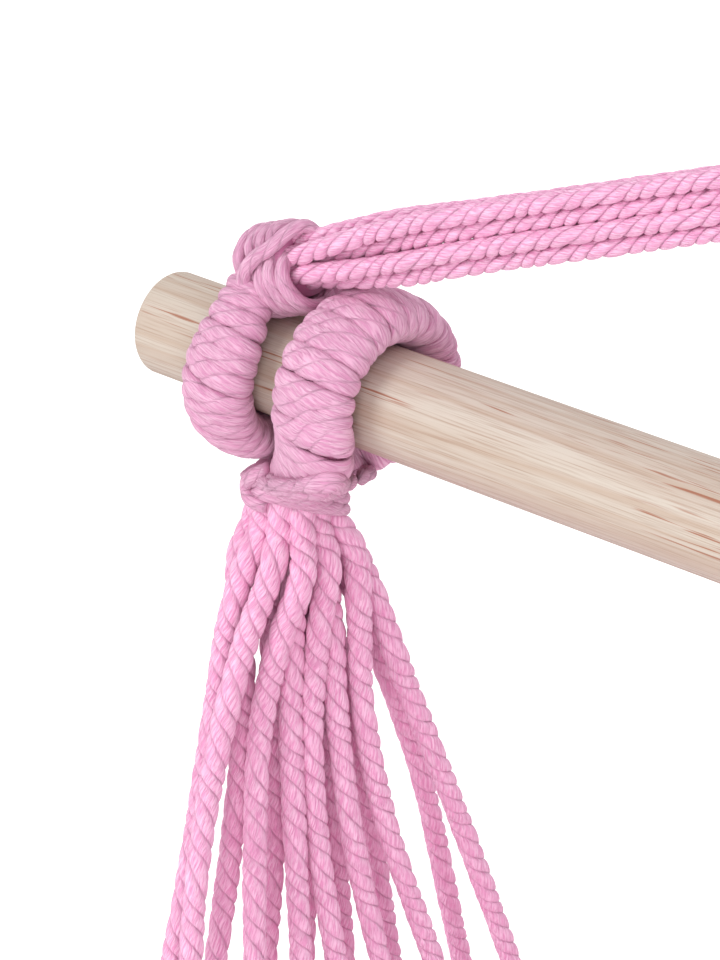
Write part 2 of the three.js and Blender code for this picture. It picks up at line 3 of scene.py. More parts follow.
import bmesh
import bpy
import numpy as np
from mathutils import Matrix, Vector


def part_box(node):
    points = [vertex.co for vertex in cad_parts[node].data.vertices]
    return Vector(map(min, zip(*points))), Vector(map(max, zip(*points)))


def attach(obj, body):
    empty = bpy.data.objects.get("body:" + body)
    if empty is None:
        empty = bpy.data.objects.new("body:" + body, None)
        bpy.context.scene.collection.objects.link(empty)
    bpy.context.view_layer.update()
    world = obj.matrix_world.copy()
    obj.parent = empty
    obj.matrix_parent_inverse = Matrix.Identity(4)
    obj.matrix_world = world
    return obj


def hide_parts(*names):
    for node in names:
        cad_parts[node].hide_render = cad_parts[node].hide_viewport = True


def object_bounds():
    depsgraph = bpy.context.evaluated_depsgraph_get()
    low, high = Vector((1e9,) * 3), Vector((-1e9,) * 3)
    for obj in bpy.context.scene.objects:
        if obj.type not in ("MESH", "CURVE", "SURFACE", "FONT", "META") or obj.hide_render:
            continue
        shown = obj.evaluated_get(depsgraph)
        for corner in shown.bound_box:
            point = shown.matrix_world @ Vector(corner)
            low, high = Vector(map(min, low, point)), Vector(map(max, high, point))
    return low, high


# Looks of the hammock chair: laid cotton cord, close wraps, bare pine and a folded cotton seat.
# Metres, +Z up, X along the bar, the front faces -Y. The origin is the inside of the top eye.
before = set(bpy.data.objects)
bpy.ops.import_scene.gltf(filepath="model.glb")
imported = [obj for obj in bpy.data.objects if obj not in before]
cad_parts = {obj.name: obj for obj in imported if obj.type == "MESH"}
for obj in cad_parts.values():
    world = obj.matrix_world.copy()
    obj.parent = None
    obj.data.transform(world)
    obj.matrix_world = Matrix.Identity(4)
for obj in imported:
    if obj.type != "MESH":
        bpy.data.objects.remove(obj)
cad_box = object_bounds()
MM = 0.001
DEG = math.pi / 180

# Spreader bar
BAR_LENGTH = 1000 * MM
BAR_DIAMETER = 30 * MM
BAR_END_ROUND = 1.2 * MM
BAR_SIDES = 128
BAR_EDGE_STEPS = 4
SMOOTH_BELOW = 35 * DEG
# The tree's pith, beside and below the bar's middle
PITH_SIDE = 70 * MM
PITH_DROP = 50 * MM
bar_low, bar_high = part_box("spreader_bar")
BAR_Z = (bar_low.z + bar_high.z) / 2

# Cord: three soft strands, laid like the middle of an S
CORD_DIAMETER = 5 * MM
CORD_GAP = 0.3 * MM
CORD_PITCH = CORD_DIAMETER + CORD_GAP
HEX_ROW = CORD_PITCH * math.sqrt(0.75)
HANGER_LAY = 18.5 * MM
SEAT_LAY = 19 * MM
WRAP_LAY = 24 * MM
S_LAY = -1
STRANDS = 3
STRAND_PLACE_SHARES = [-1, -0.86, -0.55, -0.18, 0.18, 0.55, 0.86]
STEPS_PER_LAY = 14
CURVE_STEPS = 60
FREE_GROOVE_SHARE = 0.3
SEAT_GROOVE_SHARE = 0.22
WRAP_GROOVE_SHARE = 0.12

# Free cords swell: the hangers are pressed flat together, and the seat cords loosen below their whipping.
HANGER_HALF_SIZES = (2.95 * MM, 2.5 * MM)
SEAT_HALF_SIZES = (3.2 * MM, 3.2 * MM)
HANGER_SWELL_SHARE = 0.2
LOOSE_SWELL_SHARE = 0.34
LOOSE_SWELL_LENGTH = 100 * MM
TURN_OF_NEXT_CORD = 1.7

# Unevenness along a cord, of the lay in turns and of the thickness in shares. Each row is a size,
# a wavelength and how often it takes the phase.
LAY_WAVES = ((0.06, 47 * MM, 1), (0.04, 19 * MM, 3))
THICKNESS_WAVES = ((0.025, 71 * MM, 1), (0.02, 23 * MM, 2))

# Wraps
WRAP_THICKNESS = 3 * MM
WHIPPING_THICKNESS = 4 * MM
FIT = 0.3 * MM
LEFT_HANDED = -1
WRAP_HALF_OUT_SHARE = 0.62
WRAP_SIDE_SHARE = 1.12
# Unevenness of the wraps, each row a size in turns and a rate
TURN_WAVES = ((0.13, 1.9), (0.05, 4.7))
WIDER_NEIGHBOUR_SHARE = 0.7
# Where wound turns touch, in half widths of a turn, and how dark the painted shade in the groove between them
# is
TOUCH_START = 0.74
TOUCH_BLEND = 0.14
TOUCH_SHADE = 0.75
EYE_ROUTE_STEPS = 1200
NEARBY_SHARE = 0.0001
LEG_SHARE = 0.2
LEG_STEPS = 400
CORE_SECTIONS = 73
CORE_SIDES = 24
CORE_DEPTH_SHARE = 0.85
SHOULDER_SIDES = 32
NECK_LENGTH = 17 * MM
SHOULDER_END = 3.5 * MM
WHIPPING_HALF_OUT_SHARE = 0.52
WHIPPING_HALF_PITCH_SHARE = 0.57
SHORT_SIDE_POWER = 1.2
CLIMB_POWER = 4
FULL_SIDE_POWER = 1.5
TAIL_THICKNESS = 4 * MM
TAIL_WIDTH_SHARE = 1.1
TAIL_DIP = 2.2 * MM
TAIL_DIP_REACH = 1.6
HULL_ROUND = 0.05
TUCK_DEPTH = 3.5 * MM
TUCK_TURNS = 0.15
EYE_TURNS = 28
EYE_STEPS_PER_TURN = 44
NECK_STEPS_PER_TURN = 60

# Hangers
HANGER_ANGLE = 20.6 * DEG
HANGER_BEND_RADIUS = 32 * MM
RIBBON_START = 55 * MM
RIBBON_END = 100 * MM

# Top eye
TOP_EYE_OPENING = 44 * MM
TOP_EYE_THICKNESS = 17 * MM
TOP_EYE_WIDTH = 20 * MM
TOP_NECK_DROP = 48 * MM
TOP_LEG_GAP = 8 * MM
TOP_LEG_THICKNESS = 14 * MM

# Hanger eye
HANGER_EYE_THICKNESS = 13.6 * MM
HANGER_EYE_WIDTH = 23 * MM
HANGER_EYE_INSET = 37 * MM
HANGER_EYE_SLANT = 3 * MM
HANGER_NECK_INSET = 56 * MM
HANGER_NECK_RISE = 34 * MM
HANGER_LEG_GAP = 5 * MM
HANGER_LEG_THICKNESS = 11.2 * MM
HANGER_LEG_WIDTH = 15 * MM

# Seat eye
SEAT_EYE_THICKNESS = 14.4 * MM
SEAT_EYE_WIDTH = 26 * MM
SEAT_EYE_INSET = 75.5 * MM
SEAT_NECK_INSET = 48 * MM
SEAT_NECK_DROP = 30 * MM
SEAT_LEG_INSET = 55 * MM
SEAT_LEG_GAP = 7.5 * MM
SEAT_LEG_THICKNESS = 12 * MM
SEAT_LEG_WIDTH = 17 * MM

# Seat
SEAT_CORD_DROP = 500 * MM
FABRIC_WIDTH = 1100 * MM
FABRIC_THICKNESS = 2.4 * MM
HEM_THICKNESS = 7 * MM
HEM_HALF_LENGTH = 165 * MM
HEM_CORD_GAP = 0.8 * MM
FOLD_COUNT = 7
FOLD_DEPTH_AT_HEM = 17 * MM
FOLD_DEPTH_FULL = 30 * MM
FOLD_DEPTH_MIDDLE = 17 * MM
FABRIC_EDGE_ANGLE = 82 * DEG
FABRIC_FAN_ANGLE = 38 * DEG
CURVE_POWER = 1.4
CORD_FAN_POWER = 1.3
HEM_FOLD_SHARE = 0.22
MIDDLE_FOLD_SHARE = 0.8
FABRIC_COLUMNS = 224
FABRIC_ROWS = 150
PROFILE_STEPS = 2000
HEM_START_SHARE = 0.975
HEM_BLEND_SHARE = 0.02

# Camera: fitted to the bar's end in the photograph
CAMERA_FROM_BAR_END = (737.6 * MM, -737.6 * MM, 436 * MM)
CAMERA_PITCH = 25 * DEG
CAMERA_YAW = 42.03 * DEG
CAMERA_FOCAL_PIXELS = 3960.6
PHOTO_HEIGHT_PIXELS = 960
SENSOR_HEIGHT_MM = 24
FARTHEST_SEEN = 50


def add_camera():
    data = bpy.data.cameras.new("photo_camera")
    data.sensor_fit = "VERTICAL"
    data.sensor_height = SENSOR_HEIGHT_MM
    data.lens = CAMERA_FOCAL_PIXELS / PHOTO_HEIGHT_PIXELS * SENSOR_HEIGHT_MM
    data.clip_end = FARTHEST_SEEN
    camera = bpy.data.objects.new("photo_camera", data)
    x, y, z = CAMERA_FROM_BAR_END
    camera.location = (x - BAR_LENGTH / 2, y, z + BAR_Z)
    camera.rotation_euler = (math.pi / 2 - CAMERA_PITCH, 0, CAMERA_YAW)
    bpy.context.scene.collection.objects.link(camera)
    bpy.context.scene.camera = camera


# Vectors and routes
def unit(vectors):
    return vectors / np.linalg.norm(vectors, axis=-1, keepdims=True)


def lerp(a, b, share):
    return a + (b - a) * share


def smooth(x):
    x = np.clip(x, 0, 1)
    return x * x * (3 - 2 * x)


def catmull_rom(points, t):
    """Places on a centripetal Catmull-Rom curve through the points, at t from 0 to 1."""
    points = np.asarray(points, float)
    first = 2 * points[0] - points[1]
    last = 2 * points[-1] - points[-2]
    padded = np.vstack([first, points, last])
    place = np.clip(np.asarray(t, float), 0, 1) * (len(points) - 1)
    start = np.minimum(place.astype(int), len(points) - 2)
    weight = (place - start)[:, None]
    p0, p1, p2, p3 = (padded[start + i] for i in range(4))
    gap0, gap1, gap2 = (
        np.linalg.norm(b - a, axis=1)[:, None] ** 0.5 for a, b in ((p0, p1), (p1, p2), (p2, p3)))
    leave = ((p1 - p0) / gap0 - (p2 - p0) / (gap0 + gap1) + (p2 - p1) / gap1) * gap1
    arrive = ((p2 - p1) / gap1 - (p3 - p1) / (gap1 + gap2) + (p3 - p2) / gap2) * gap1
    square = -3 * p1 + 3 * p2 - 2 * leave - arrive
    cube = 2 * p1 - 2 * p2 + leave + arrive
    return p1 + weight * (leave + weight * (square + weight * cube))


def lengths_along(points):
    steps = np.linalg.norm(np.diff(points, axis=0), axis=1)
    return np.concatenate([[0], np.cumsum(steps)])


def even_route(points, spacing):
    """The curve through the points, as places an even distance apart."""
    dense = catmull_rom(points, np.linspace(0, 1, CURVE_STEPS * len(points)))
    along = lengths_along(dense)
    count = max(4, round(along[-1] / spacing))
    wanted = np.linspace(0, along[-1], count + 1)
    return np.stack([np.interp(wanted, along, dense[:, i]) for i in range(3)], axis=1)


def as_placed(places):
    return places


def mirrored(places):
    return places * np.array([-1, 1, 1])


def waves(along, phase, table):
    return sum(size * np.sin(along * 2 * math.pi / length + times * phase) for size, length, times in table)


# Laid cord: three strands round a route, pressed to an oval where it is wound
def strand_outline(groove_depth):
    """Points round one laid section of radius 1, and how much painted shade each gets near a groove, from 0
    to 1.
    """
    half_strand = math.pi / STRANDS
    shares = np.tile(STRAND_PLACE_SHARES, STRANDS)
    angles = shares * half_strand + np.repeat(np.arange(STRANDS), len(STRAND_PLACE_SHARES)) * 2 * half_strand
    near = np.abs(shares)
    # Half of the depth is the strand's own roundness, and half is the sharp groove
    radii = 1 - groove_depth * (0.5 * near**7 + 0.5 * near**2)
    places = np.stack([radii * np.cos(angles), radii * np.sin(angles)], axis=1)
    return places, near**6 * groove_depth / FREE_GROOVE_SHARE


def new_mesh_object(name, places, quads, caps, corner_uvs, groove_shade, material):
    """A smooth piece from quads, with polygons that close its ends."""
    mesh = bpy.data.meshes.new(name)
    corners = np.concatenate([quads.ravel(), *(np.array(cap) for cap in caps)])
    sizes = np.array([4] * len(quads) + [len(cap) for cap in caps])
    starts = np.concatenate([[0], np.cumsum(sizes)[:-1]])
    mesh.vertices.add(len(places))
    mesh.vertices.foreach_set("co", places.ravel())
    mesh.loops.add(len(corners))
    mesh.loops.foreach_set("vertex_index", corners.astype(np.int32))
    mesh.polygons.add(len(sizes))
    mesh.polygons.foreach_set("loop_start", starts.astype(np.int32))
    mesh.update(calc_edges=True)
    uv_layer = mesh.uv_layers.new(name="cord_uv")
    uv_layer.data.foreach_set("uv", np.concatenate(corner_uvs).ravel())
    # The painted groove shade, which the cotton materials read as a deeper colour
    attribute = mesh.attributes.new("groove_shade", "FLOAT", "POINT")
    attribute.data.foreach_set("value", groove_shade.astype(np.float32))
    mesh.polygons.foreach_set("use_smooth", np.ones(len(sizes), bool))
    mesh.materials.append(material)
    piece = bpy.data.objects.new(name, mesh)
    bpy.context.scene.collection.objects.link(piece)
    return piece


def skin_rings(name, rings, along, girth, groove_shade, material, twist=None):
    """A closed tube through rings of equal point counts, with its length and girth in its UV map.

    The girth is counted from a fixed side, so fibres drawn along the map keep to the tube's own direction.
    """
    count, sides = rings.shape[:2]
    row = np.arange(count - 1)[:, None] * sides
    column = np.arange(sides)[None, :]
    after = (column + 1) % sides
    quads = np.stack([row + column, row + after, row + sides + after, row + sides + column], axis=-1)
    quads = quads.reshape(-1, 4)
    low = np.repeat(along[:-1], sides)
    high = np.repeat(along[1:], sides)
    left = np.tile(np.arange(sides) / sides * girth, count - 1)
    turned = (np.zeros(count) if twist is None else twist) / (2 * math.pi) * girth
    left_low = left + np.repeat(turned[:-1], sides)
    left_high = left + np.repeat(turned[1:], sides)
    wide = girth / sides
    quad_uvs = np.stack(
        [low, left_low, low, left_low + wide, high, left_high + wide, high, left_high], axis=1).reshape(-1, 2)
    start_cap = np.arange(sides)[::-1]
    end_cap = (count - 1) * sides + np.arange(sides)
    cap_uvs = np.zeros((sides, 2))
    places = rings.reshape(-1, 3)
    corner_uvs = [quad_uvs, cap_uvs, cap_uvs]
    return new_mesh_object(name, places, quads, [start_cap, end_cap], corner_uvs, groove_shade.ravel(), material)


def laid_cord(
        name, route, outward, half_out, half_side, material, lay, groove_depth, turn=0.0, side_by_side=False):
    """Three strands laid round a route. The section is half_out towards outward and half_side across it.

    Turns that lie side by side get painted groove shade where they touch.
    """
    tangent = unit(np.gradient(route, axis=0))
    out = unit(outward - tangent * np.sum(outward * tangent, axis=1, keepdims=True))
    side = np.cross(tangent, out)
    along = lengths_along(route)
    outline, groove_shade = strand_outline(groove_depth)
    twist = turn + S_LAY * 2 * math.pi * (along / lay + waves(along, turn, LAY_WAVES))
    cos = np.cos(twist)[:, None]
    sin = np.sin(twist)[:, None]
    across = outline[None, :, 0] * cos - outline[None, :, 1] * sin
    beside = outline[None, :, 0] * sin + outline[None, :, 1] * cos
    # Painted shade: how much deeper in colour each point is, in the grooves and where turns touch
    groove_shade = np.broadcast_to(groove_shade, across.shape)
    if side_by_side:
        groove_shade = np.maximum(groove_shade, TOUCH_SHADE * smooth((np.abs(beside) - TOUCH_START) / TOUCH_BLEND))
    half_out = np.broadcast_to(half_out, along.shape)[:, None]
    half_side = np.broadcast_to(half_side, along.shape)[:, None]
    rings = route[:, None, :] + out[:, None, :] * (across * half_out)[:, :, None]
    rings = rings + side[:, None, :] * (beside * half_side)[:, :, None]
    girth = math.pi * CORD_DIAMETER
    return skin_rings(name, rings, along, girth, groove_shade, material, twist)


def free_cord(name, points, half_sizes, lay, groove_depth, seed, swell):
    """A cord through the points, a little uneven as hand-laid cotton is.

    It is looser and thicker by the swell where it leaves the whipping.
    """
    route = even_route(points, lay / STEPS_PER_LAY)
    along = lengths_along(route)
    uneven = 1 + waves(along, seed, THICKNESS_WAVES) + swell * np.exp(-along / LOOSE_SWELL_LENGTH)
    outward = np.tile([0.0, 1.0, 0.0], (len(route), 1))
    half_out = half_sizes[0] * uneven
    half_side = half_sizes[1] * uneven
    return laid_cord(
        name, route, outward, half_out, half_side, cord_cotton, lay, groove_depth, TURN_OF_NEXT_CORD * seed)


# Eyes
def one_side(angle, middle, power):
    """How near an angle is to a side's middle, from 0 opposite it to 1."""
    return ((1 + np.cos(angle - middle)) / 2) ** power


class Eye:
    """A loop of bundled cord round a hub. A place is (a, h, w): across, towards the neck, along the hub.

    A row of the tail table is a share of the neck's length, a side in degrees and a lift in whippings. One of
    the shoulder table is a share of the neck's length, a size in bundles and a share of the way to the legs.
    """

    # The first turn's climb up a leg, the whipping's fuller side, and how far the last turn passes the neck
    climb = climb_angle = fuller = full_angle = overrun = 0

    def __init__(self, **spec):
        self.__dict__.update(spec)
        self.radius = self.hub_radius + FIT + self.thickness / 2
        angles = np.array([-self.leg_share, *RING_SHARES, self.leg_share]) * math.pi
        ring = [(self.radius * math.sin(a), -self.radius * math.cos(a), self.along(a)) for a in angles]
        leg = [(sign * self.leg_gap, self.neck_h, self.leg_inset) for sign in (-1, 1)]
        places = [leg[0], *ring, leg[1]]
        thins = [(-1, 0, 0), *((math.sin(a), -math.cos(a), 0) for a in angles), (1, 0, 0)]
        self.points = np.array([self.place(*p) for p in places])
        self.thins = np.array([self.turn(*p) for p in thins])
        self.t = np.linspace(0, 1, EYE_ROUTE_STEPS + 1)
        self.along_route = lengths_along(catmull_rom(self.points, self.t))
        self.length = self.along_route[-1]

    def turn(self, a, h, w):
        return a * self.across + h * self.to_neck + w * self.hub_axis

    def place(self, a, h, w):
        return self.hub + self.turn(a, h, w)

    def frames(self, share):
        """Centre, thin and wide directions, and half sizes at shares of the route's length."""
        t = np.interp(np.clip(share, 0, 1), self.along_route / self.length, self.t)
        centre = catmull_rom(self.points, t)
        ahead = catmull_rom(self.points, t + NEARBY_SHARE)
        behind = catmull_rom(self.points, t - NEARBY_SHARE)
        tangent = unit(ahead - behind)
        raw = catmull_rom(self.thins, t)
        thin = unit(raw - tangent * np.sum(raw * tangent, axis=1, keepdims=True))
        wide = np.cross(tangent, thin)
        taper = smooth(np.minimum(share, 1 - share) / self.taper_share)
        half_width = lerp(self.leg_width, self.width, taper) / 2
        half_thickness = lerp(self.leg_thickness, self.thickness, taper) / 2
        return centre, thin, wide, half_width[:, None], half_thickness[:, None]

    def oval_points(self, share, angle, depth):
        centre, thin, wide, half_width, half_thickness = self.frames(share)
        cos = np.cos(angle)[:, None]
        sin = np.sin(angle)[:, None]
        thin_radius = half_thickness - depth
        wide_radius = half_width - depth
        point = centre + thin * thin_radius * cos + wide * wide_radius * sin
        outward = unit(thin * cos / thin_radius + wide * sin / wide_radius)
        return point, outward

    def neck_axis(self):
        return unit(self.turn(0, self.direction[0], self.direction[1]))

    def neck_place(self, along):
        return self.place(0, self.neck_h, self.neck_w) + self.neck_axis() * along

    def neck_sides(self):
        side = self.across
        return side, np.cross(self.neck_axis(), side)

    def wrap_route(self):
        """The close wrap over the loop, leg to leg: places, outward directions and half the band's width."""
        turns = np.linspace(0, EYE_TURNS, EYE_TURNS * EYE_STEPS_PER_TURN + 1)
        hidden_end = 1 * MM / self.length

        def winding(turn):
            uneven = turn + sum(size * np.sin(rate * turn) for size, rate in TURN_WAVES)
            share = lerp(hidden_end, 1 - hidden_end, uneven / EYE_TURNS)
            return self.oval_points(share, LEFT_HANDED * 2 * math.pi * turn, WRAP_THICKNESS / 2)

        point, outward = winding(turns)
        after = np.linalg.norm(winding(turns + 1)[0] - point, axis=1)
        before = np.linalg.norm(winding(turns - 1)[0] - point, axis=1)
        inner = lerp(np.minimum(after, before), np.maximum(after, before), WIDER_NEIGHBOUR_SHARE)
        room = np.where(turns < 1, after, np.where(turns > EYE_TURNS - 1, before, inner))
        return point, outward, room / 2

    def legs_section(self, along):
        """Where a leg crosses planes square to the neck at distances along it, and the oval it cuts there.

        The oval is given by its squared sizes: side by side, side by up, and up by up.
        """
        side, up = self.neck_sides()
        centre, thin, wide, half_width, half_thickness = self.frames(np.linspace(0, LEG_SHARE, LEG_STEPS + 1))
        from_neck = centre - self.neck_place(0)
        level = from_neck @ self.neck_axis()
        k = np.argmin(np.abs(level[:, None] - along), axis=0)
        a = thin[k] @ side / half_thickness[k, 0]
        b = thin[k] @ up / half_thickness[k, 0]
        c = wide[k] @ side / half_width[k, 0]
        d = wide[k] @ up / half_width[k, 0]
        spread = (a * d - b * c) ** 2
        squares = ((b**2 + d**2) / spread, -(a * b + c * d) / spread, (a**2 + c**2) / spread)
        return from_neck[k] @ side, from_neck[k] @ up, squares

    def whipping_route(self):
        """The whipping over the legs and the neck: places, outward directions and half the band's width.

        It leans, so its last turn is higher up the neck on one side, and its first turn may climb a leg.
        """
        side, up = self.neck_sides()
        count = self.whipping_turns
        last = NECK_LENGTH - WHIPPING_THICKNESS / 2 + self.overrun
        turns = np.linspace(0, count, round(count * NECK_STEPS_PER_TURN) + 1)
        angle = LEFT_HANDED * 2 * math.pi * turns + self.whipping_start
        short_side = one_side(angle, self.short_angle, SHORT_SIDE_POWER)
        climb = self.climb * one_side(angle, self.climb_angle, CLIMB_POWER)
        start = -self.shoulder_length - climb
        reach = last - self.lean * short_side - start
        along = start + reach * turns / count
        on_neck = smooth((along + SHOULDER_END) / (2 * SHOULDER_END)) if self.on_legs else np.ones(len(along))
        gap, slide, (wide, skew, tall) = self.legs_section(along)
        # The band lies on the hull of both legs, the mirror image of each other
        cos = np.cos(angle)
        sin = np.sin(angle)
        near_leg = cos / np.sqrt(cos**2 + HULL_ROUND)
        wide = lerp(wide, self.bundle_radius**2, on_neck)
        tall = lerp(tall, self.bundle_radius**2, on_neck)
        skew = lerp(skew * np.sign(gap) * near_leg, 0, on_neck)
        reached = np.sqrt(wide * cos**2 + 2 * skew * cos * sin + tall * sin**2)
        across = (wide * cos + skew * sin) / reached + np.abs(gap) * near_leg * (1 - on_neck)
        beside = (skew * cos + tall * sin) / reached + slide * (1 - on_neck)
        outward = np.outer(cos, side) + np.outer(sin, up)
        # Both ends are tucked in
        free = smooth(np.minimum(turns, count - turns) / TUCK_TURNS)
        lift = FIT + WHIPPING_THICKNESS / 2 + self.extra_radius(angle) - TUCK_DEPTH * (1 - free)
        point = self.neck_place(0) + np.outer(along, self.neck_axis()) + np.outer(across, side)
        point = point + np.outer(beside, up) + outward * lift[:, None]
        # The turns dip under the end that crosses them
        tail = self.tail_route()[0]
        apart = np.linalg.norm(point[:, None, :] - tail[None, :, :], axis=2).min(axis=1)[:, None]
        point = point - outward * TAIL_DIP * smooth(TAIL_DIP_REACH - apart / TAIL_THICKNESS)
        return point, outward, reach / count * WHIPPING_HALF_PITCH_SHARE

    def extra_radius(self, angle):
        """How much farther out the whipping lies on its fuller side."""
        return self.fuller * one_side(angle, self.full_angle, FULL_SIDE_POWER)

    def tail_route(self):
        """The wrap's end, which crosses over the whipping from the legs and dives in at the cords."""
        side, up = self.neck_sides()
        points = []
        for along, degrees, lift in self.tail_table:
            angle = degrees * DEG
            outward = side * math.cos(angle) + up * math.sin(angle)
            radius = self.bundle_radius + FIT + WHIPPING_THICKNESS * (0.5 + lift) + self.extra_radius(angle)
            points.append(self.neck_place(along * NECK_LENGTH) + outward * radius)
        route = even_route(points, TAIL_THICKNESS / 4)
        from_axis = route - self.neck_place(0)
        from_axis = from_axis - self.neck_axis() * (from_axis @ self.neck_axis())[:, None]
        return route, from_axis

    def core_rings(self):
        """The bundle inside the wraps, as rings of the loop."""
        share = np.linspace(0, 1, CORE_SECTIONS)
        rings = []
        for k in range(CORE_SIDES):
            angle = np.full(len(share), 2 * math.pi * k / CORE_SIDES)
            rings.append(self.oval_points(share, angle, WRAP_THICKNESS * CORE_DEPTH_SHARE)[0])
        return np.stack(rings, axis=1)

    def shoulder_rings(self):
        """The bundle where both legs gather into the neck, and the stub inside the whipping."""
        side, up = self.neck_sides()
        legs = self.place(0, self.neck_h, self.leg_inset) - self.neck_place(0)
        angles = np.arange(SHOULDER_SIDES) * 2 * math.pi / SHOULDER_SIDES
        around = side * np.cos(angles)[:, None] + up * np.sin(angles)[:, None]
        rings = []
        for along, size, shift in self.shoulder_table:
            centre = self.neck_place(0) + self.neck_axis() * (along * NECK_LENGTH) + legs * shift
            rings.append(centre + around * self.bundle_radius * size)
        return np.stack(rings)


# Where an eye's route is fixed round the hub, in half turns from the side away from the neck
RING_SHARES = [-0.5, -0.33, -0.17, 0, 0.17, 0.33, 0.5]
SEVEN_RADIUS = CORD_PITCH + CORD_DIAMETER / 2
OUTER_COLUMN = CORD_PITCH / 2 + HEX_ROW
FOURTEEN_RADIUS = math.hypot(OUTER_COLUMN, CORD_PITCH) + CORD_DIAMETER / 2

top_eye = Eye(
    hub=np.array([0, 0, -TOP_EYE_OPENING / 2]),
    across=np.array([1.0, 0, 0]),
    to_neck=np.array([0, 0, -1.0]),
    hub_axis=np.array([0, 1.0, 0]),
    hub_radius=TOP_EYE_OPENING / 2 - FIT,
    thickness=TOP_EYE_THICKNESS,
    width=TOP_EYE_WIDTH,
    leg_share=0.62,
    along=lambda angle: 0,
    taper_share=0.2,
    leg_inset=0,
    leg_gap=TOP_LEG_GAP,
    leg_width=TOP_EYE_WIDTH,
    leg_thickness=TOP_LEG_THICKNESS,
    neck_h=TOP_NECK_DROP,
    neck_w=0,
    direction=(1, 0),
    bundle_radius=FOURTEEN_RADIUS,
    whipping_start=0,
    whipping_turns=4.76,
    on_legs=True,
    shoulder_length=6 * MM,
    lean=3 * MM,
    short_angle=150 * DEG,
    tail_table=[(-0.39, 176, 0.1), (-0.1, 196, 0.15), (0.3, 216, 0.2), (0.65, 216, 0.2), (0.8, 198, 0.1),
                (0.85, 178, -0.5)],
    shoulder_table=[(-0.3, 0.6, 1), (-0.1, 0.9, 0.6), (0.05, 1, 0), (0.6, 1, 0)],
)

# The eyes on the bar's left end
BAR_END = {
    "hub": np.array([-BAR_LENGTH / 2, 0, BAR_Z]),
    "hub_axis": np.array([1.0, 0, 0]),
    "across": np.array([0, 1.0, 0]),
    "hub_radius": BAR_DIAMETER / 2,
}
HANGER_DIRECTION = (math.sin(HANGER_ANGLE), math.cos(HANGER_ANGLE))
HANGER_LEG_INSET = HANGER_NECK_INSET - NECK_LENGTH * HANGER_DIRECTION[1]

hanger_eye = Eye(
    **BAR_END,
    to_neck=np.array([0, 0, 1.0]),
    thickness=HANGER_EYE_THICKNESS,
    width=HANGER_EYE_WIDTH,
    leg_share=0.66,
    along=lambda angle: HANGER_EYE_INSET + HANGER_EYE_SLANT * (1 - math.cos(angle)),
    taper_share=0.22,
    leg_inset=HANGER_LEG_INSET,
    leg_gap=HANGER_LEG_GAP,
    leg_width=HANGER_LEG_WIDTH,
    leg_thickness=HANGER_LEG_THICKNESS,
    neck_h=HANGER_NECK_RISE - NECK_LENGTH * HANGER_DIRECTION[0],
    neck_w=HANGER_LEG_INSET,
    direction=HANGER_DIRECTION,
    bundle_radius=SEVEN_RADIUS,
    whipping_start=300 * DEG,
    whipping_turns=4.42,
    on_legs=False,
    shoulder_length=3 * MM,
    fuller=2.7 * MM,
    full_angle=245 * DEG,
    overrun=2.5 * MM,
    lean=6 * MM,
    short_angle=90 * DEG,
    tail_table=[(-0.2, 205, -0.4), (0, 188, 0.1), (0.18, 168, 0.25), (0.41, 156, 0.3), (0.7, 145, 0.25),
                (0.91, 125, 0.2), (1.08, 100, 0), (1.15, 78, -0.8)],
    shoulder_table=[(-0.25, 0.5, 0), (-0.1, 0.85, 0), (0.05, 1.1, 0), (0.3, 1.25, 0), (0.8, 1.25, 0)],
)

seat_eye = Eye(
    **BAR_END,
    to_neck=np.array([0, 0, -1.0]),
    thickness=SEAT_EYE_THICKNESS,
    width=SEAT_EYE_WIDTH,
    leg_share=0.6,
    along=lambda angle: SEAT_EYE_INSET,
    taper_share=0.25,
    leg_inset=SEAT_LEG_INSET,
    leg_gap=SEAT_LEG_GAP,
    leg_width=SEAT_LEG_WIDTH,
    leg_thickness=SEAT_LEG_THICKNESS,
    neck_h=SEAT_NECK_DROP,
    neck_w=SEAT_NECK_INSET,
    direction=(1, 0),
    bundle_radius=FOURTEEN_RADIUS,
    whipping_start=240 * DEG,
    whipping_turns=3.75,
    on_legs=True,
    shoulder_length=-2.5 * MM,
    climb=18.5 * MM,
    climb_angle=140 * DEG,
    overrun=2.5 * MM,
    lean=11.5 * MM,
    short_angle=159 * DEG,
    tail_table=[(-0.2, 172, -0.3), (0, 196, -0.1), (0.24, 214, 0), (0.4, 214, 0), (0.47, 198, 0),
                (0.51, 178, -0.5)],
    shoulder_table=[(-0.4, 0.5, 1), (-0.15, 0.8, 0.6), (0.05, 1, 0), (0.6, 1, 0)],
)
SEAT_NECK = seat_eye.neck_place(NECK_LENGTH)

# Hanger cord places, in one order: in the neck, in the flat ribbon and in the top neck
SEVEN_SLOTS = np.array([
    (-HEX_ROW, CORD_PITCH / 2), (-HEX_ROW, -CORD_PITCH / 2), (0, CORD_PITCH), (0, 0), (0, -CORD_PITCH),
    (HEX_ROW, CORD_PITCH / 2), (HEX_ROW, -CORD_PITCH / 2),
])
RIBBON_SHARES = np.array([
    (-0.74, 1.31), (-0.74, -0.45), (0.62, 1.32), (-0.25, 0.43), (-0.25, -1.33), (0.76, 0.3), (0.76, -0.72),
])
RIBBON_SLOTS = RIBBON_SHARES * CORD_PITCH
TOP_INNER = -HEX_ROW / 2
TOP_SLOTS = np.array([
    (-CORD_PITCH, -TOP_INNER), (-1.5 * CORD_PITCH, TOP_INNER), (CORD_PITCH, -TOP_INNER), (0, -TOP_INNER),
    (-0.5 * CORD_PITCH, TOP_INNER), (0.5 * CORD_PITCH, TOP_INNER), (1.5 * CORD_PITCH, TOP_INNER),
])
RIBBON_BULGE_SHARE = 0.8
TOP_BULGE_SHARE = 1.7
NECK_TO_RIBBON_SHARES = [0, 0.06, 0.3, 0.65, 1]
RIBBON_TO_TOP_SHARES = [0, 0.33, 0.67, 1]
BEND_SHARES = [0.25, 0.5, 0.75, 1]

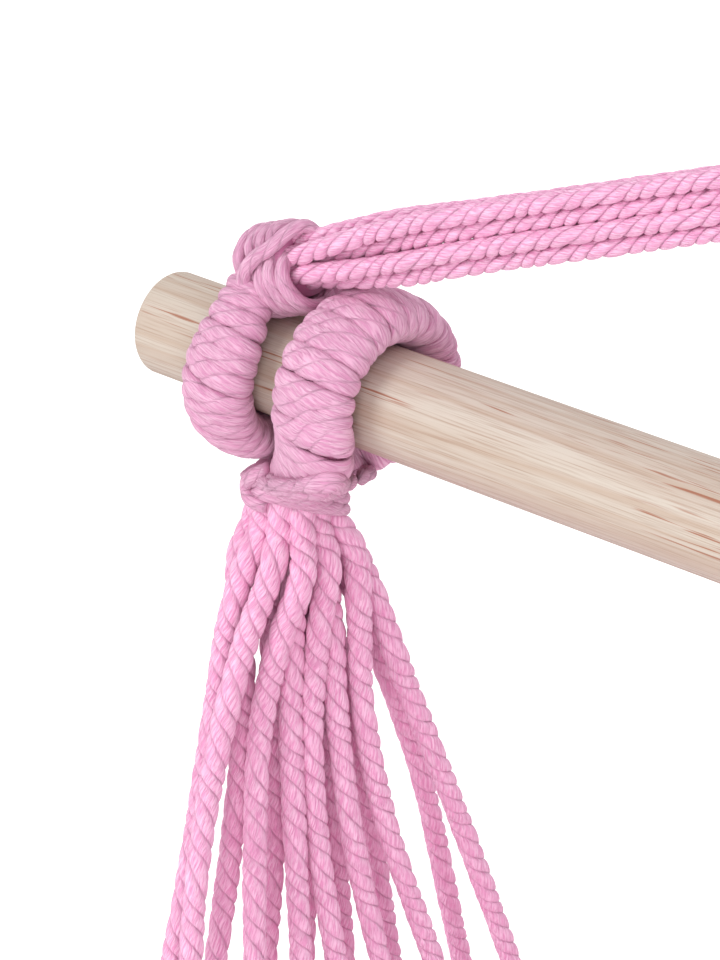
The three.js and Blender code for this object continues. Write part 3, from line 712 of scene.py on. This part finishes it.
# Seat cords: places as shares of the drop. There the bundle spreads, the cords loosen into two layers,
# and each sways a little. Loose places and sways are in shares of the pitch.
SEAT_CORD_SHARES = [0, 0.02, 0.06, 0.12, 0.2, 0.34, 0.6, 1]
SEAT_SPREAD_SHARES = [0.25, 0.6, 0.9, 0.6, 0.3, 0.25, 0.25, 0.25]
SEAT_LOOSE_SHARES = [0, 0, 0.55, 1, 1, 0.6, 0.15, 0]
SEAT_SWAY_SHARES = [0, 0, 0.2, 0.6, 1, 0.7, 0.2, 0]
LOOSE_STEP_SHARES = np.array([0.28, 0.25])
LOOSE_LAYER_SHARES = np.array([0.42, -0.46])
MIDDLE_ROW = 3
SWAY_OF_PITCH_SHARES = [0.9, -1.7, 0.9, -0.2, 1.25, 0, 0.7, -1.2, -0.2, -1.6, -0.4, -2, 0.9, 0]

BUNDLE_AT_TOP = CORD_PITCH / 2 - TOP_INNER
BEND_END_Z = top_eye.neck_place(NECK_LENGTH)[2] - CORD_GAP
BEND_TURN = math.pi / 2 - HANGER_ANGLE
BEND_CENTRE_P = BUNDLE_AT_TOP + HANGER_BEND_RADIUS
BEND_CENTRE_Z = BEND_END_Z - HANGER_BEND_RADIUS / 4
NECK_END_P = BAR_LENGTH / 2 - HANGER_NECK_INSET
NECK_END_Z = BAR_Z + HANGER_NECK_RISE
STRAIGHT_REACH = NECK_END_P - BEND_CENTRE_P + HANGER_BEND_RADIUS * math.sin(HANGER_ANGLE)
STRAIGHT_LENGTH = STRAIGHT_REACH / math.cos(HANGER_ANGLE)
CORD_TUCK = 9 * MM
SEAT_TUCK = 11 * MM
HEM_TUCK = 4 * MM


def mix(start, end, share, bulge_share):
    return (start * (1 - share) + end * share) * (1 + bulge_share * share * (1 - share))


def hanger_points(index):
    """One hanger cord of the left end, from inside its neck to inside the top neck."""
    top_slot = TOP_SLOTS[index]
    points = []

    def add_straight(along, slot):
        p = NECK_END_P - along * math.cos(HANGER_ANGLE) + slot[1] * math.sin(HANGER_ANGLE)
        z = NECK_END_Z + along * math.sin(HANGER_ANGLE) + slot[1] * math.cos(HANGER_ANGLE)
        points.append((-p, slot[0], z))

    add_straight(-CORD_TUCK, SEVEN_SLOTS[index])
    for share in NECK_TO_RIBBON_SHARES:
        slot = mix(SEVEN_SLOTS[index], RIBBON_SLOTS[index], share, RIBBON_BULGE_SHARE)
        add_straight(CORD_GAP + share * RIBBON_START, slot)
    for share in RIBBON_TO_TOP_SHARES:
        slot = mix(RIBBON_SLOTS[index], top_slot, share, TOP_BULGE_SHARE)
        add_straight(STRAIGHT_LENGTH - RIBBON_END * (1 - share), slot)
    for share in BEND_SHARES:
        angle = HANGER_ANGLE + share * BEND_TURN
        reach = HANGER_BEND_RADIUS - top_slot[1]
        z = BEND_CENTRE_Z - reach * math.cos(angle)
        points.append((reach * math.sin(angle) - BEND_CENTRE_P, top_slot[0], z))
    points.append((-BUNDLE_AT_TOP - top_slot[1], top_slot[0], BEND_END_Z))
    points.append((-BUNDLE_AT_TOP - top_slot[1], top_slot[0], BEND_END_Z + CORD_TUCK))
    return np.array(points)


# Seat cloth
def profile_table():
    """Distance out, rise and slope of the cloth across the chair, from the middle to the hem."""
    share = np.linspace(0, 1, PROFILE_STEPS + 1)
    angle = FABRIC_EDGE_ANGLE * share**CURVE_POWER
    step = FABRIC_WIDTH / 2 / PROFILE_STEPS
    middle = (angle[1:] + angle[:-1]) / 2
    out = np.concatenate([[0], np.cumsum(np.cos(middle) * step)])
    rise = np.concatenate([[0], np.cumsum(np.sin(middle) * step)])
    return share, out, rise, angle


PROFILE = profile_table()
HEM_RISE = PROFILE[2][-1]


def hem_height(y):
    return SEAT_NECK[2] - np.sqrt(SEAT_CORD_DROP**2 - y**2)


def cloth_place(u, v):
    """A point of the folded cloth. u runs from hem to hem and v from front to back, both -1 to 1."""
    share, *curves = PROFILE
    out, rise, angle = (np.interp(np.abs(u), share, curve) for curve in curves)
    depth = HEM_RISE - rise
    fan = FABRIC_FAN_ANGLE * v
    hem_y = HEM_HALF_LENGTH * v
    side = np.sign(u)
    flat = np.cos(angle)
    y = hem_y + depth * np.sin(fan)
    point = np.stack([side * out, y, hem_height(hem_y) - depth * np.cos(fan)], axis=-1)
    inward = unit(np.stack([-side * np.sin(angle), -np.sin(fan) * flat, np.cos(fan) * flat], axis=-1))
    to_hem = smooth((1 - np.abs(u)) / HEM_FOLD_SHARE)
    to_middle = smooth((MIDDLE_FOLD_SHARE - np.abs(u)) / MIDDLE_FOLD_SHARE)
    amplitude = lerp(lerp(FOLD_DEPTH_AT_HEM, FOLD_DEPTH_FULL, to_hem), FOLD_DEPTH_MIDDLE, to_middle)
    wave = np.sin(math.pi * FOLD_COUNT * (v + 1))
    return point - inward * (amplitude * wave)[..., None]


def seat_cord_points(index):
    """One seat cord of the left end, from inside the neck to inside the hem."""
    row = index // 2
    column = CORD_PITCH / 2 if row % 2 == 0 else OUTER_COLUMN
    layer = 1 if index % 2 else -1
    slot = np.array([layer * column, (row - MIDDLE_ROW) * CORD_PITCH / 2])
    steps = index - (FOLD_COUNT - 0.5)
    loose = (steps * LOOSE_STEP_SHARES + layer * LOOSE_LAYER_SHARES) * CORD_PITCH
    neck = SEAT_NECK - (0, 0, CORD_GAP)
    crest = cloth_place(np.array(-1.0), np.array((2 * index + 1) / (2 * FOLD_COUNT) - 1))
    lean = crest[1] / SEAT_CORD_DROP
    end_axis = np.array([0, lean, -math.sqrt(1 - lean**2)])
    end = crest - end_axis * HEM_CORD_GAP
    points = [(neck[0] + slot[0], slot[1], neck[2] + SEAT_TUCK)]
    for i, share in enumerate(SEAT_CORD_SHARES):
        fan = 1 - (1 - share) ** CORD_FAN_POWER
        x, y = lerp(slot * (1 + SEAT_SPREAD_SHARES[i]), loose, SEAT_LOOSE_SHARES[i])
        sway = SEAT_SWAY_SHARES[i] * SWAY_OF_PITCH_SHARES[index] * CORD_PITCH
        z = lerp(neck[2], end[2], share)
        points.append((lerp(neck[0] + x, end[0], share), lerp(y, end[1], fan) + sway, z))
    points.append(end + end_axis * HEM_TUCK)
    return np.array(points)


# Materials
def linear(hex_colour):
    """An sRGB hex colour as linear red, green, blue and alpha."""
    channels = [int(hex_colour[i:i + 2], 16) / 255 for i in (1, 3, 5)]
    values = [c / 12.92 if c <= 0.04045 else ((c + 0.055) / 1.055) ** 2.4 for c in channels]
    return (*values, 1)


def new_material(name):
    material = bpy.data.materials.new(name)
    material.use_nodes = True
    material.node_tree.nodes.clear()
    return material


def add_node(owner, kind, inputs=None, **settings):
    """Adds a node. An input is a value, an earlier node for its first output, or a node and its output."""
    tree = owner.node_tree
    node = tree.nodes.new(f"ShaderNode{kind}")
    for name, value in settings.items():
        setattr(node, name, value)
    for name, value in (inputs or {}).items():
        if isinstance(value, bpy.types.Node):
            value = (value, 0)
        if isinstance(value, tuple) and isinstance(value[0], bpy.types.Node):
            source, output = value
            tree.links.new(source.outputs[output], node.inputs[name])
        else:
            node.inputs[name].default_value = value
    return node


def set_ramp(ramp_node, stops):
    """Colour stops, each a share and an sRGB hex colour or a grey number."""
    elements = ramp_node.color_ramp.elements
    while len(elements) < len(stops):
        elements.new(0.5)
    for element, (place, colour) in zip(elements, stops):
        element.position = place
        element.color = linear(colour) if isinstance(colour, str) else (colour, colour, colour, 1)


def fibrous_noise(material, place, cell, detail, roughness=0.5):
    """Noise stretched along fibres, in cells of a real length and width."""
    cells = add_node(material, "Mapping", {"Vector": place, "Scale": [1 / size for size in cell]})
    return add_node(
        material, "TexNoise", {"Vector": cells, "Scale": 1, "Detail": detail, "Roughness": roughness})


def cotton_cord(name, light, middle, deep):
    """Soft-spun dyed cotton: pale fibres along strands, and painted shade in thin lines between yarns and
    strands.
    """
    material = new_material(name)
    uv = add_node(material, "UVMap", uv_map="cord_uv")
    # Yarns about 0.6 mm wide, seen for about 8 mm, with a thin dent between them that is painted a deeper
    # pink as shade
    yarn = fibrous_noise(material, uv, (8 * MM, 0.6 * MM, 1), 1)
    between = add_node(material, "ValToRGB", {"Fac": yarn})
    set_ramp(between, [(0.46, 0.0), (0.5, 1.0), (0.54, 0.0)])
    # Fibres about 0.35 mm wide, uneven dye in patches, and flecks of darker fibre about 2 mm long
    fibre = fibrous_noise(material, uv, (5 * MM, 0.35 * MM, 1), 2, 0.6)
    patch = fibrous_noise(material, uv, (14 * MM, 5 * MM, 1), 2)
    fleck = fibrous_noise(material, uv, (2 * MM, 0.9 * MM, 1), 1)

    fibre_colour = add_node(material, "ValToRGB", {"Fac": fibre})
    set_ramp(fibre_colour, [(0.42, middle), (0.56, light)])
    patch_share = add_node(
        material, "MapRange", {"Value": patch, "From Min": 0.4, "From Max": 0.7, "To Max": 0.4})
    yarn_line_shade = add_node(material, "Math", {0: between, 1: 0.22}, operation="MULTIPLY")
    fleck_share = add_node(
        material, "MapRange", {"Value": fleck, "From Min": 0.82, "From Max": 0.86, "To Max": 0.8})

    # Painted shade deepens the colour in the grooves between strands and where wound turns touch, and fades
    # here and there
    groove_shade = add_node(material, "Attribute", attribute_name="groove_shade")
    faded = add_node(
        material, "MapRange",
        {"Value": patch, "From Min": 0.35, "From Max": 0.65, "To Min": 1.1, "To Max": 0.5})
    crease_shade = add_node(material, "Math", {0: (groove_shade, "Fac"), 1: faded}, operation="MULTIPLY")
    groove_shade_share = add_node(
        material, "MapRange", {"Value": crease_shade, "From Min": 0.15, "From Max": 1.0, "To Max": 0.55})
    # Mixed in turn: patches of uneven dye, painted shade in the yarn lines, flecks of darker fibre, painted
    # shade in the grooves
    colour = fibre_colour
    for share, tint in (
            (patch_share, middle), (yarn_line_shade, deep), (fleck_share, "#EE5AA0"), (groove_shade_share, deep)):
        mixed = add_node(material, "Mix", {"Factor": share, "A": colour, "B": linear(tint)}, data_type="RGBA")
        colour = (mixed, 2)
    height = add_node(material, "Math", {0: between, 1: -0.35, 2: fibre}, operation="MULTIPLY_ADD")
    bump = add_node(material, "Bump", {"Height": height, "Strength": 1, "Distance": 0.3 * MM})
    shader = add_node(material, "BsdfPrincipled", {
        "Base Color": colour, "Normal": bump, "Roughness": 0.95, "Specular IOR Level": 0.2,
        "Sheen Weight": 0.3, "Sheen Roughness": 0.6, "Sheen Tint": linear("#FFE6F2")})
    add_node(material, "OutputMaterial", {"Surface": shader})
    return material


def bare_pine():
    """Sanded bare pine: pale tan, fine straight grain, red-brown resin streaks, and rings on its sawn end."""
    material = new_material("bare_pine")
    coordinates = add_node(material, "TexCoord")
    place = (coordinates, "Object")
    # The pith lies outside the bar, so growth rings cross the end as arcs and run along it as straight lines
    pith = add_node(
        material, "Mapping",
        {"Vector": place, "Location": (0, -PITH_SIDE, PITH_DROP - BAR_Z), "Rotation": (0, 0.004, 0.006)})
    apart = add_node(material, "SeparateXYZ", {"Vector": pith})
    across = add_node(material, "CombineXYZ", {"Y": (apart, 1), "Z": (apart, 2)})
    radius = add_node(material, "VectorMath", {0: across}, operation="LENGTH")
    # Growth rings about 1.9 mm apart, wavering by up to a ring
    rings = add_node(material, "Math", {0: (radius, "Value"), 1: 1 / (1.9 * MM)}, operation="MULTIPLY")
    waver = fibrous_noise(material, pith, (125 * MM, 25 * MM, 25 * MM), 3)
    wavered = add_node(material, "Math", {0: waver, 1: 1.2, 2: rings}, operation="MULTIPLY_ADD")
    ring = add_node(material, "Math", {0: wavered}, operation="FRACT")
    ring_colour = add_node(material, "ValToRGB", {"Fac": ring})
    set_ramp(ring_colour, [(0.0, "#C8BDB1"), (0.6, "#C5B8AC"), (0.88, "#BDAA9A"), (1.0, "#C7BBB0")])
    # Broad warm and grey bands, about 5 mm wide and 120 mm long
    band = fibrous_noise(material, place, (120 * MM, 5 * MM, 5 * MM), 2)
    band_share = add_node(
        material, "MapRange", {"Value": band, "From Min": 0.42, "From Max": 0.68, "To Max": 0.75})
    # Fine pores, 0.4 mm wide and about 25 mm long
    pores = fibrous_noise(material, place, (25 * MM, 0.4 * MM, 0.4 * MM), 2, 0.6)
    pore_share = add_node(
        material, "MapRange", {"Value": pores, "From Min": 0.48, "From Max": 0.7, "To Max": 0.65})
    # Red-brown resin streaks about 26 mm long, in loose groups, most of them on the bar's upper side
    streaks = fibrous_noise(material, place, (26 * MM, 0.7 * MM, 0.7 * MM), 1)
    streak_share = add_node(material, "MapRange", {"Value": streaks, "From Min": 0.6, "From Max": 0.7})
    group = fibrous_noise(material, place, (90 * MM, 9 * MM, 9 * MM), 1)
    resinous = add_node(
        material, "MapRange",
        {"Value": (apart, 2), "From Min": PITH_DROP + 3 * MM, "From Max": PITH_DROP + 12 * MM, "To Max": 0.1})
    grouped = add_node(material, "Math", {0: group, 1: resinous}, operation="ADD")
    group_share = add_node(
        material, "MapRange", {"Value": grouped, "From Min": 0.51, "From Max": 0.62, "To Max": 0.9})
    resin_share = add_node(material, "Math", {0: streak_share, 1: group_share}, operation="MULTIPLY")
    colour = ring_colour
    for share, tint in ((band_share, "#B7A292"), (pore_share, "#A48977"), (resin_share, "#9A5F45")):
        mixed = add_node(material, "Mix", {"Factor": share, "A": colour, "B": linear(tint)}, data_type="RGBA")
        colour = (mixed, 2)
    bump = add_node(material, "Bump", {"Height": pores, "Strength": 0.25, "Distance": 0.1 * MM})
    shader = add_node(material, "BsdfPrincipled", {
        "Base Color": colour, "Normal": bump, "Roughness": 0.55, "Specular IOR Level": 0.35})
    add_node(material, "OutputMaterial", {"Surface": shader})
    return material


def woven_cotton():
    """Heavy plain-weave cotton, dyed pink, with a matt face and slightly uneven yarns."""
    material = new_material("woven_cotton")
    uv = add_node(material, "UVMap", uv_map="cord_uv")
    apart = add_node(material, "SeparateXYZ", {"Vector": uv})
    # Threads 1.6 mm apart both ways, drawn coarser than real so that they show
    weave = []
    for axis in (0, 1):
        turns = add_node(material, "Math", {0: (apart, axis), 1: math.pi / (1.6 * MM)}, operation="MULTIPLY")
        weave.append(add_node(material, "Math", {0: turns}, operation="SINE"))
    crossing = add_node(material, "Math", {0: weave[0], 1: weave[1]}, operation="MULTIPLY")
    height = add_node(material, "Math", {0: crossing, 1: 0.5, 2: 0.5}, operation="MULTIPLY_ADD")
    # The threads are painted a deeper pink where the weave dips, as shade
    thread_colour_and_shade = add_node(material, "ValToRGB", {"Fac": height})
    set_ramp(thread_colour_and_shade, [(0.0, "#DA86B1"), (0.6, "#EBA9CB")])
    # Slubs 4 mm wide and about 60 mm long, which run from front to back
    slub = fibrous_noise(material, uv, (4 * MM, 60 * MM, 1), 3)
    slub_share = add_node(
        material, "MapRange", {"Value": slub, "From Min": 0.35, "From Max": 0.75, "To Max": 0.5})
    colour = add_node(
        material, "Mix", {"Factor": slub_share, "A": thread_colour_and_shade, "B": linear("#F2C2DA")}, data_type="RGBA")
    bump = add_node(material, "Bump", {"Height": height, "Strength": 0.6, "Distance": 0.4 * MM})
    shader = add_node(material, "BsdfPrincipled", {
        "Base Color": (colour, 2), "Normal": bump, "Roughness": 0.95, "Specular IOR Level": 0.2,
        "Sheen Weight": 0.2, "Sheen Roughness": 0.6})
    add_node(material, "OutputMaterial", {"Surface": shader})
    return material


cord_cotton = cotton_cord("cotton_cord", "#F6C3DF", "#E69AC3", "#C25C93")
wrap_cotton = cotton_cord("cotton_wrap", "#E3B3CC", "#D190B3", "#B25788")
# The bundle is the same cotton as the cords, painted darker as shade, for it shows only deep between the
# wraps
shaded_bundle_cotton = cotton_cord("cotton_bundle", "#D98AB2", "#C873A2", "#A34E7C")
pine = bare_pine()
cloth_cotton = woven_cotton()


# Cords
def seat(piece, body, nodes):
    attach(piece, body)
    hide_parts(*nodes)


def ends_of(name):
    """The two ends of the chair, each with a function that puts left places there."""
    return ((f"{name}_left", as_placed), (f"{name}_right", mirrored))


add_camera()
for i in range(len(SEVEN_SLOTS)):
    for node, put in ends_of(f"hanger_cord_{i + 1}"):
        points = put(hanger_points(i))
        piece = free_cord(
            f"laid_{node}", points, HANGER_HALF_SIZES, HANGER_LAY, FREE_GROOVE_SHARE, i, HANGER_SWELL_SHARE)
        seat(piece, "hanger", [node])
for i in range(2 * FOLD_COUNT):
    for node, put in ends_of(f"seat_cord_{i + 1}"):
        points = put(seat_cord_points(i))
        piece = free_cord(
            f"laid_{node}", points, SEAT_HALF_SIZES, SEAT_LAY, SEAT_GROOVE_SHARE, i + len(SEVEN_SLOTS),
            LOOSE_SWELL_SHARE)
        seat(piece, "seat", [node])


# Eyes, as bundle, wrap and whipping
def tube(name, rings, material):
    along = lengths_along(rings.mean(axis=1))
    girth = np.linalg.norm(np.diff(rings[len(rings) // 2], axis=0), axis=1).sum()
    return skin_rings(name, rings, along, girth, np.zeros(rings.shape[:2]), material)


def join(target, other):
    """Joins another piece into the target's mesh."""
    bpy.ops.object.select_all(action="DESELECT")
    target.select_set(True)
    other.select_set(True)
    bpy.context.view_layer.objects.active = target
    bpy.ops.object.join()


def face_outwards(piece):
    mesh = bmesh.new()
    mesh.from_mesh(piece.data)
    bmesh.ops.recalc_face_normals(mesh, faces=mesh.faces)
    mesh.to_mesh(piece.data)
    mesh.free()


def dress_eye(eye, name, body, put, end):
    """Adds an eye's bundle, wrap and whipping. The name's end says which end of the chair it is at."""
    core = tube(f"bundle_{name}{end}", put(eye.core_rings()), shaded_bundle_cotton)
    join(core, tube(f"shoulder_{name}{end}", put(eye.shoulder_rings()), shaded_bundle_cotton))
    face_outwards(core)
    seat(core, body, [f"{name}_core{end}"])

    point, outward, half_side = eye.wrap_route()
    wrap = laid_cord(
        f"wound_{name}{end}", put(point), put(outward), WRAP_THICKNESS * WRAP_HALF_OUT_SHARE,
        half_side * WRAP_SIDE_SHARE, wrap_cotton, WRAP_LAY, WRAP_GROOVE_SHARE, side_by_side=True)
    seat(wrap, body, [f"{name}_wrap{end}"])

    point, outward, half_side = eye.whipping_route()
    whipping = laid_cord(
        f"whipped_{name}{end}", put(point), put(outward), WHIPPING_THICKNESS * WHIPPING_HALF_OUT_SHARE,
        half_side, wrap_cotton, WRAP_LAY, WRAP_GROOVE_SHARE, side_by_side=True)
    point, outward = eye.tail_route()
    half = TAIL_THICKNESS / 2
    tail = laid_cord(
        f"tail_{name}{end}", put(point), put(outward), half, half * TAIL_WIDTH_SHARE, wrap_cotton, SEAT_LAY,
        WRAP_GROOVE_SHARE)
    join(whipping, tail)
    seat(whipping, body, [f"{name}_whipping{end}"])


dress_eye(top_eye, "top_eye", "hanger", as_placed, "")
for end, put in ends_of(""):
    dress_eye(hanger_eye, "hanger_eye", "hanger", put, end)
    dress_eye(seat_eye, "seat_eye", "seat", put, end)


# Spreader bar: a turned dowel, sawn square, with its edges eased by sanding
def make_bar():
    bpy.ops.object.select_all(action="DESELECT")
    bpy.ops.mesh.primitive_cylinder_add(
        vertices=BAR_SIDES, radius=BAR_DIAMETER / 2, depth=BAR_LENGTH, end_fill_type="NGON",
        location=(0, 0, BAR_Z), rotation=(0, math.pi / 2, 0))
    bar = bpy.context.object
    bar.name = "pine_dowel"
    bpy.ops.object.transform_apply(location=True, rotation=True, scale=True)
    bevel = bar.modifiers.new("eased_edge", "BEVEL")
    bevel.width = BAR_END_ROUND
    bevel.segments = BAR_EDGE_STEPS
    bevel.limit_method = "ANGLE"
    bpy.ops.object.modifier_apply(modifier=bevel.name)
    bpy.ops.object.shade_smooth_by_angle(angle=SMOOTH_BELOW)
    bar.data.materials.append(pine)
    return bar


bar = make_bar()
seat(bar, "bar", ["spreader_bar"])


# Seat cloth
def make_cloth():
    """The folded cloth and its mean width with the folds drawn out."""
    u = np.sin(np.linspace(-math.pi / 2, math.pi / 2, FABRIC_ROWS + 1))
    v = np.linspace(-1, 1, FABRIC_COLUMNS + 1)
    grid_u, grid_v = np.meshgrid(u, v, indexing="ij")
    middle = cloth_place(grid_u, grid_v)
    along_u = np.gradient(middle, axis=0)
    along_v = np.gradient(middle, axis=1)
    normal = unit(np.cross(along_u, along_v))
    hem = smooth((np.abs(grid_u) - HEM_START_SHARE) / HEM_BLEND_SHARE)
    thickness = lerp(FABRIC_THICKNESS, HEM_THICKNESS, hem)[..., None]
    rows, columns = grid_u.shape
    top = (middle + normal * thickness / 2).reshape(-1, 3)
    bottom = (middle - normal * thickness / 2).reshape(-1, 3)
    places = np.concatenate([top, bottom])
    layer = rows * columns
    i = np.arange(rows - 1)[:, None] * columns
    j = np.arange(columns - 1)[None, :]
    a = (i + j).ravel()
    near = np.arange(rows - 1) * columns
    far = near + columns - 1
    first = np.arange(columns - 1)
    last = (rows - 1) * columns + first
    quads = np.concatenate([
        np.stack([a, a + columns, a + columns + 1, a + 1], axis=1),
        layer + np.stack([a, a + 1, a + columns + 1, a + columns], axis=1),
        np.stack([near, layer + near, layer + near + columns, near + columns], axis=1),
        np.stack([far, far + columns, layer + far + columns, layer + far], axis=1),
        np.stack([first, first + 1, layer + first + 1, layer + first], axis=1),
        np.stack([last, layer + last, layer + last + 1, last + 1], axis=1),
    ])
    # The UV map holds the cloth's flat places, along the bar and across
    steps = np.linalg.norm(np.diff(middle, axis=1), axis=2)
    cut_v = np.concatenate([np.zeros((rows, 1)), steps.cumsum(axis=1)], axis=1)
    uvs = np.stack([grid_u * FABRIC_WIDTH / 2, cut_v], axis=-1).reshape(-1, 2)
    corner_uvs = [np.concatenate([uvs, uvs])[quads.ravel()]]
    cloth = new_mesh_object("seat_cloth", places, quads, [], corner_uvs, np.zeros(len(places)), cloth_cotton)
    face_outwards(cloth)
    return cloth, float(steps.sum(axis=1).mean())


cloth, cloth_length = make_cloth()
seat(cloth, "seat", ["seat_fabric"])


# Floor, light and background
FLOOR_SIZE = 40
FLOOR_DROP = 250 * MM
FLOOR_GLOW = 0.55
SKY_STRENGTH = 0.8
WHITE = (1, 1, 1, 1)
# Each lamp's name, place, target, size in metres and watts
LAMPS = (
    ("window_light", (-1.6, -2.2, 1.6), (-0.45, 0, BAR_Z), 1.6, 44),
    ("fill_light", (1.2, -2.2, -0.6), (-0.45, 0, -0.6), 2.0, 34),
    ("back_light", (0.6, 2.4, 1.4), (0, 0, -0.5), 1.8, 16),
)


def pale_floor():
    """A pale floor that looks white where the camera sees it, and keeps the object's shadow."""
    material = new_material("pale_floor")
    path = add_node(material, "LightPath")
    diffuse = add_node(material, "BsdfDiffuse", {"Color": linear("#E9E7E6")})
    glow = add_node(material, "Emission", {"Color": WHITE, "Strength": FLOOR_GLOW})
    both = add_node(material, "AddShader", {0: diffuse, 1: glow})
    seen = add_node(material, "MixShader", {0: (path, "Is Camera Ray"), 1: diffuse, 2: both})
    add_node(material, "OutputMaterial", {"Surface": seen})
    return material


def add_floor():
    bpy.ops.object.select_all(action="DESELECT")
    bpy.ops.mesh.primitive_plane_add(size=FLOOR_SIZE, location=(0, 0, cad_box[0][2] - FLOOR_DROP))
    floor = bpy.context.object
    floor.name = "studio_floor"
    floor.data.materials.append(pale_floor())


def add_area_light(name, place, target, size, watts):
    data = bpy.data.lights.new(name, "AREA")
    data.size = size
    data.energy = watts
    lamp = bpy.data.objects.new(name, data)
    lamp.location = place
    x, y, z = np.array(target) - np.array(place)
    lamp.rotation_euler = (math.atan2(math.hypot(x, y), -z), 0, math.atan2(y, x) - math.pi / 2)
    bpy.context.scene.collection.objects.link(lamp)


def add_world():
    """Soft white light from all round, and plain white where the camera or a gloss sees it."""
    world = bpy.data.worlds.new("studio_white")
    bpy.context.scene.world = world
    world.use_nodes = True
    world.node_tree.nodes.clear()
    path = add_node(world, "LightPath")
    seen = add_node(
        world, "Math", {0: (path, "Is Camera Ray"), 1: (path, "Is Glossy Ray")}, operation="MAXIMUM")
    light = add_node(world, "Background", {"Color": WHITE, "Strength": SKY_STRENGTH})
    white = add_node(world, "Background", {"Color": WHITE, "Strength": 1})
    mixed = add_node(world, "MixShader", {0: seen, 1: light, 2: white})
    add_node(world, "OutputWorld", {"Surface": mixed})


add_floor()
add_world()
for lamp in LAMPS:
    add_area_light(*lamp)
bpy.context.scene.view_settings.view_transform = "Standard"
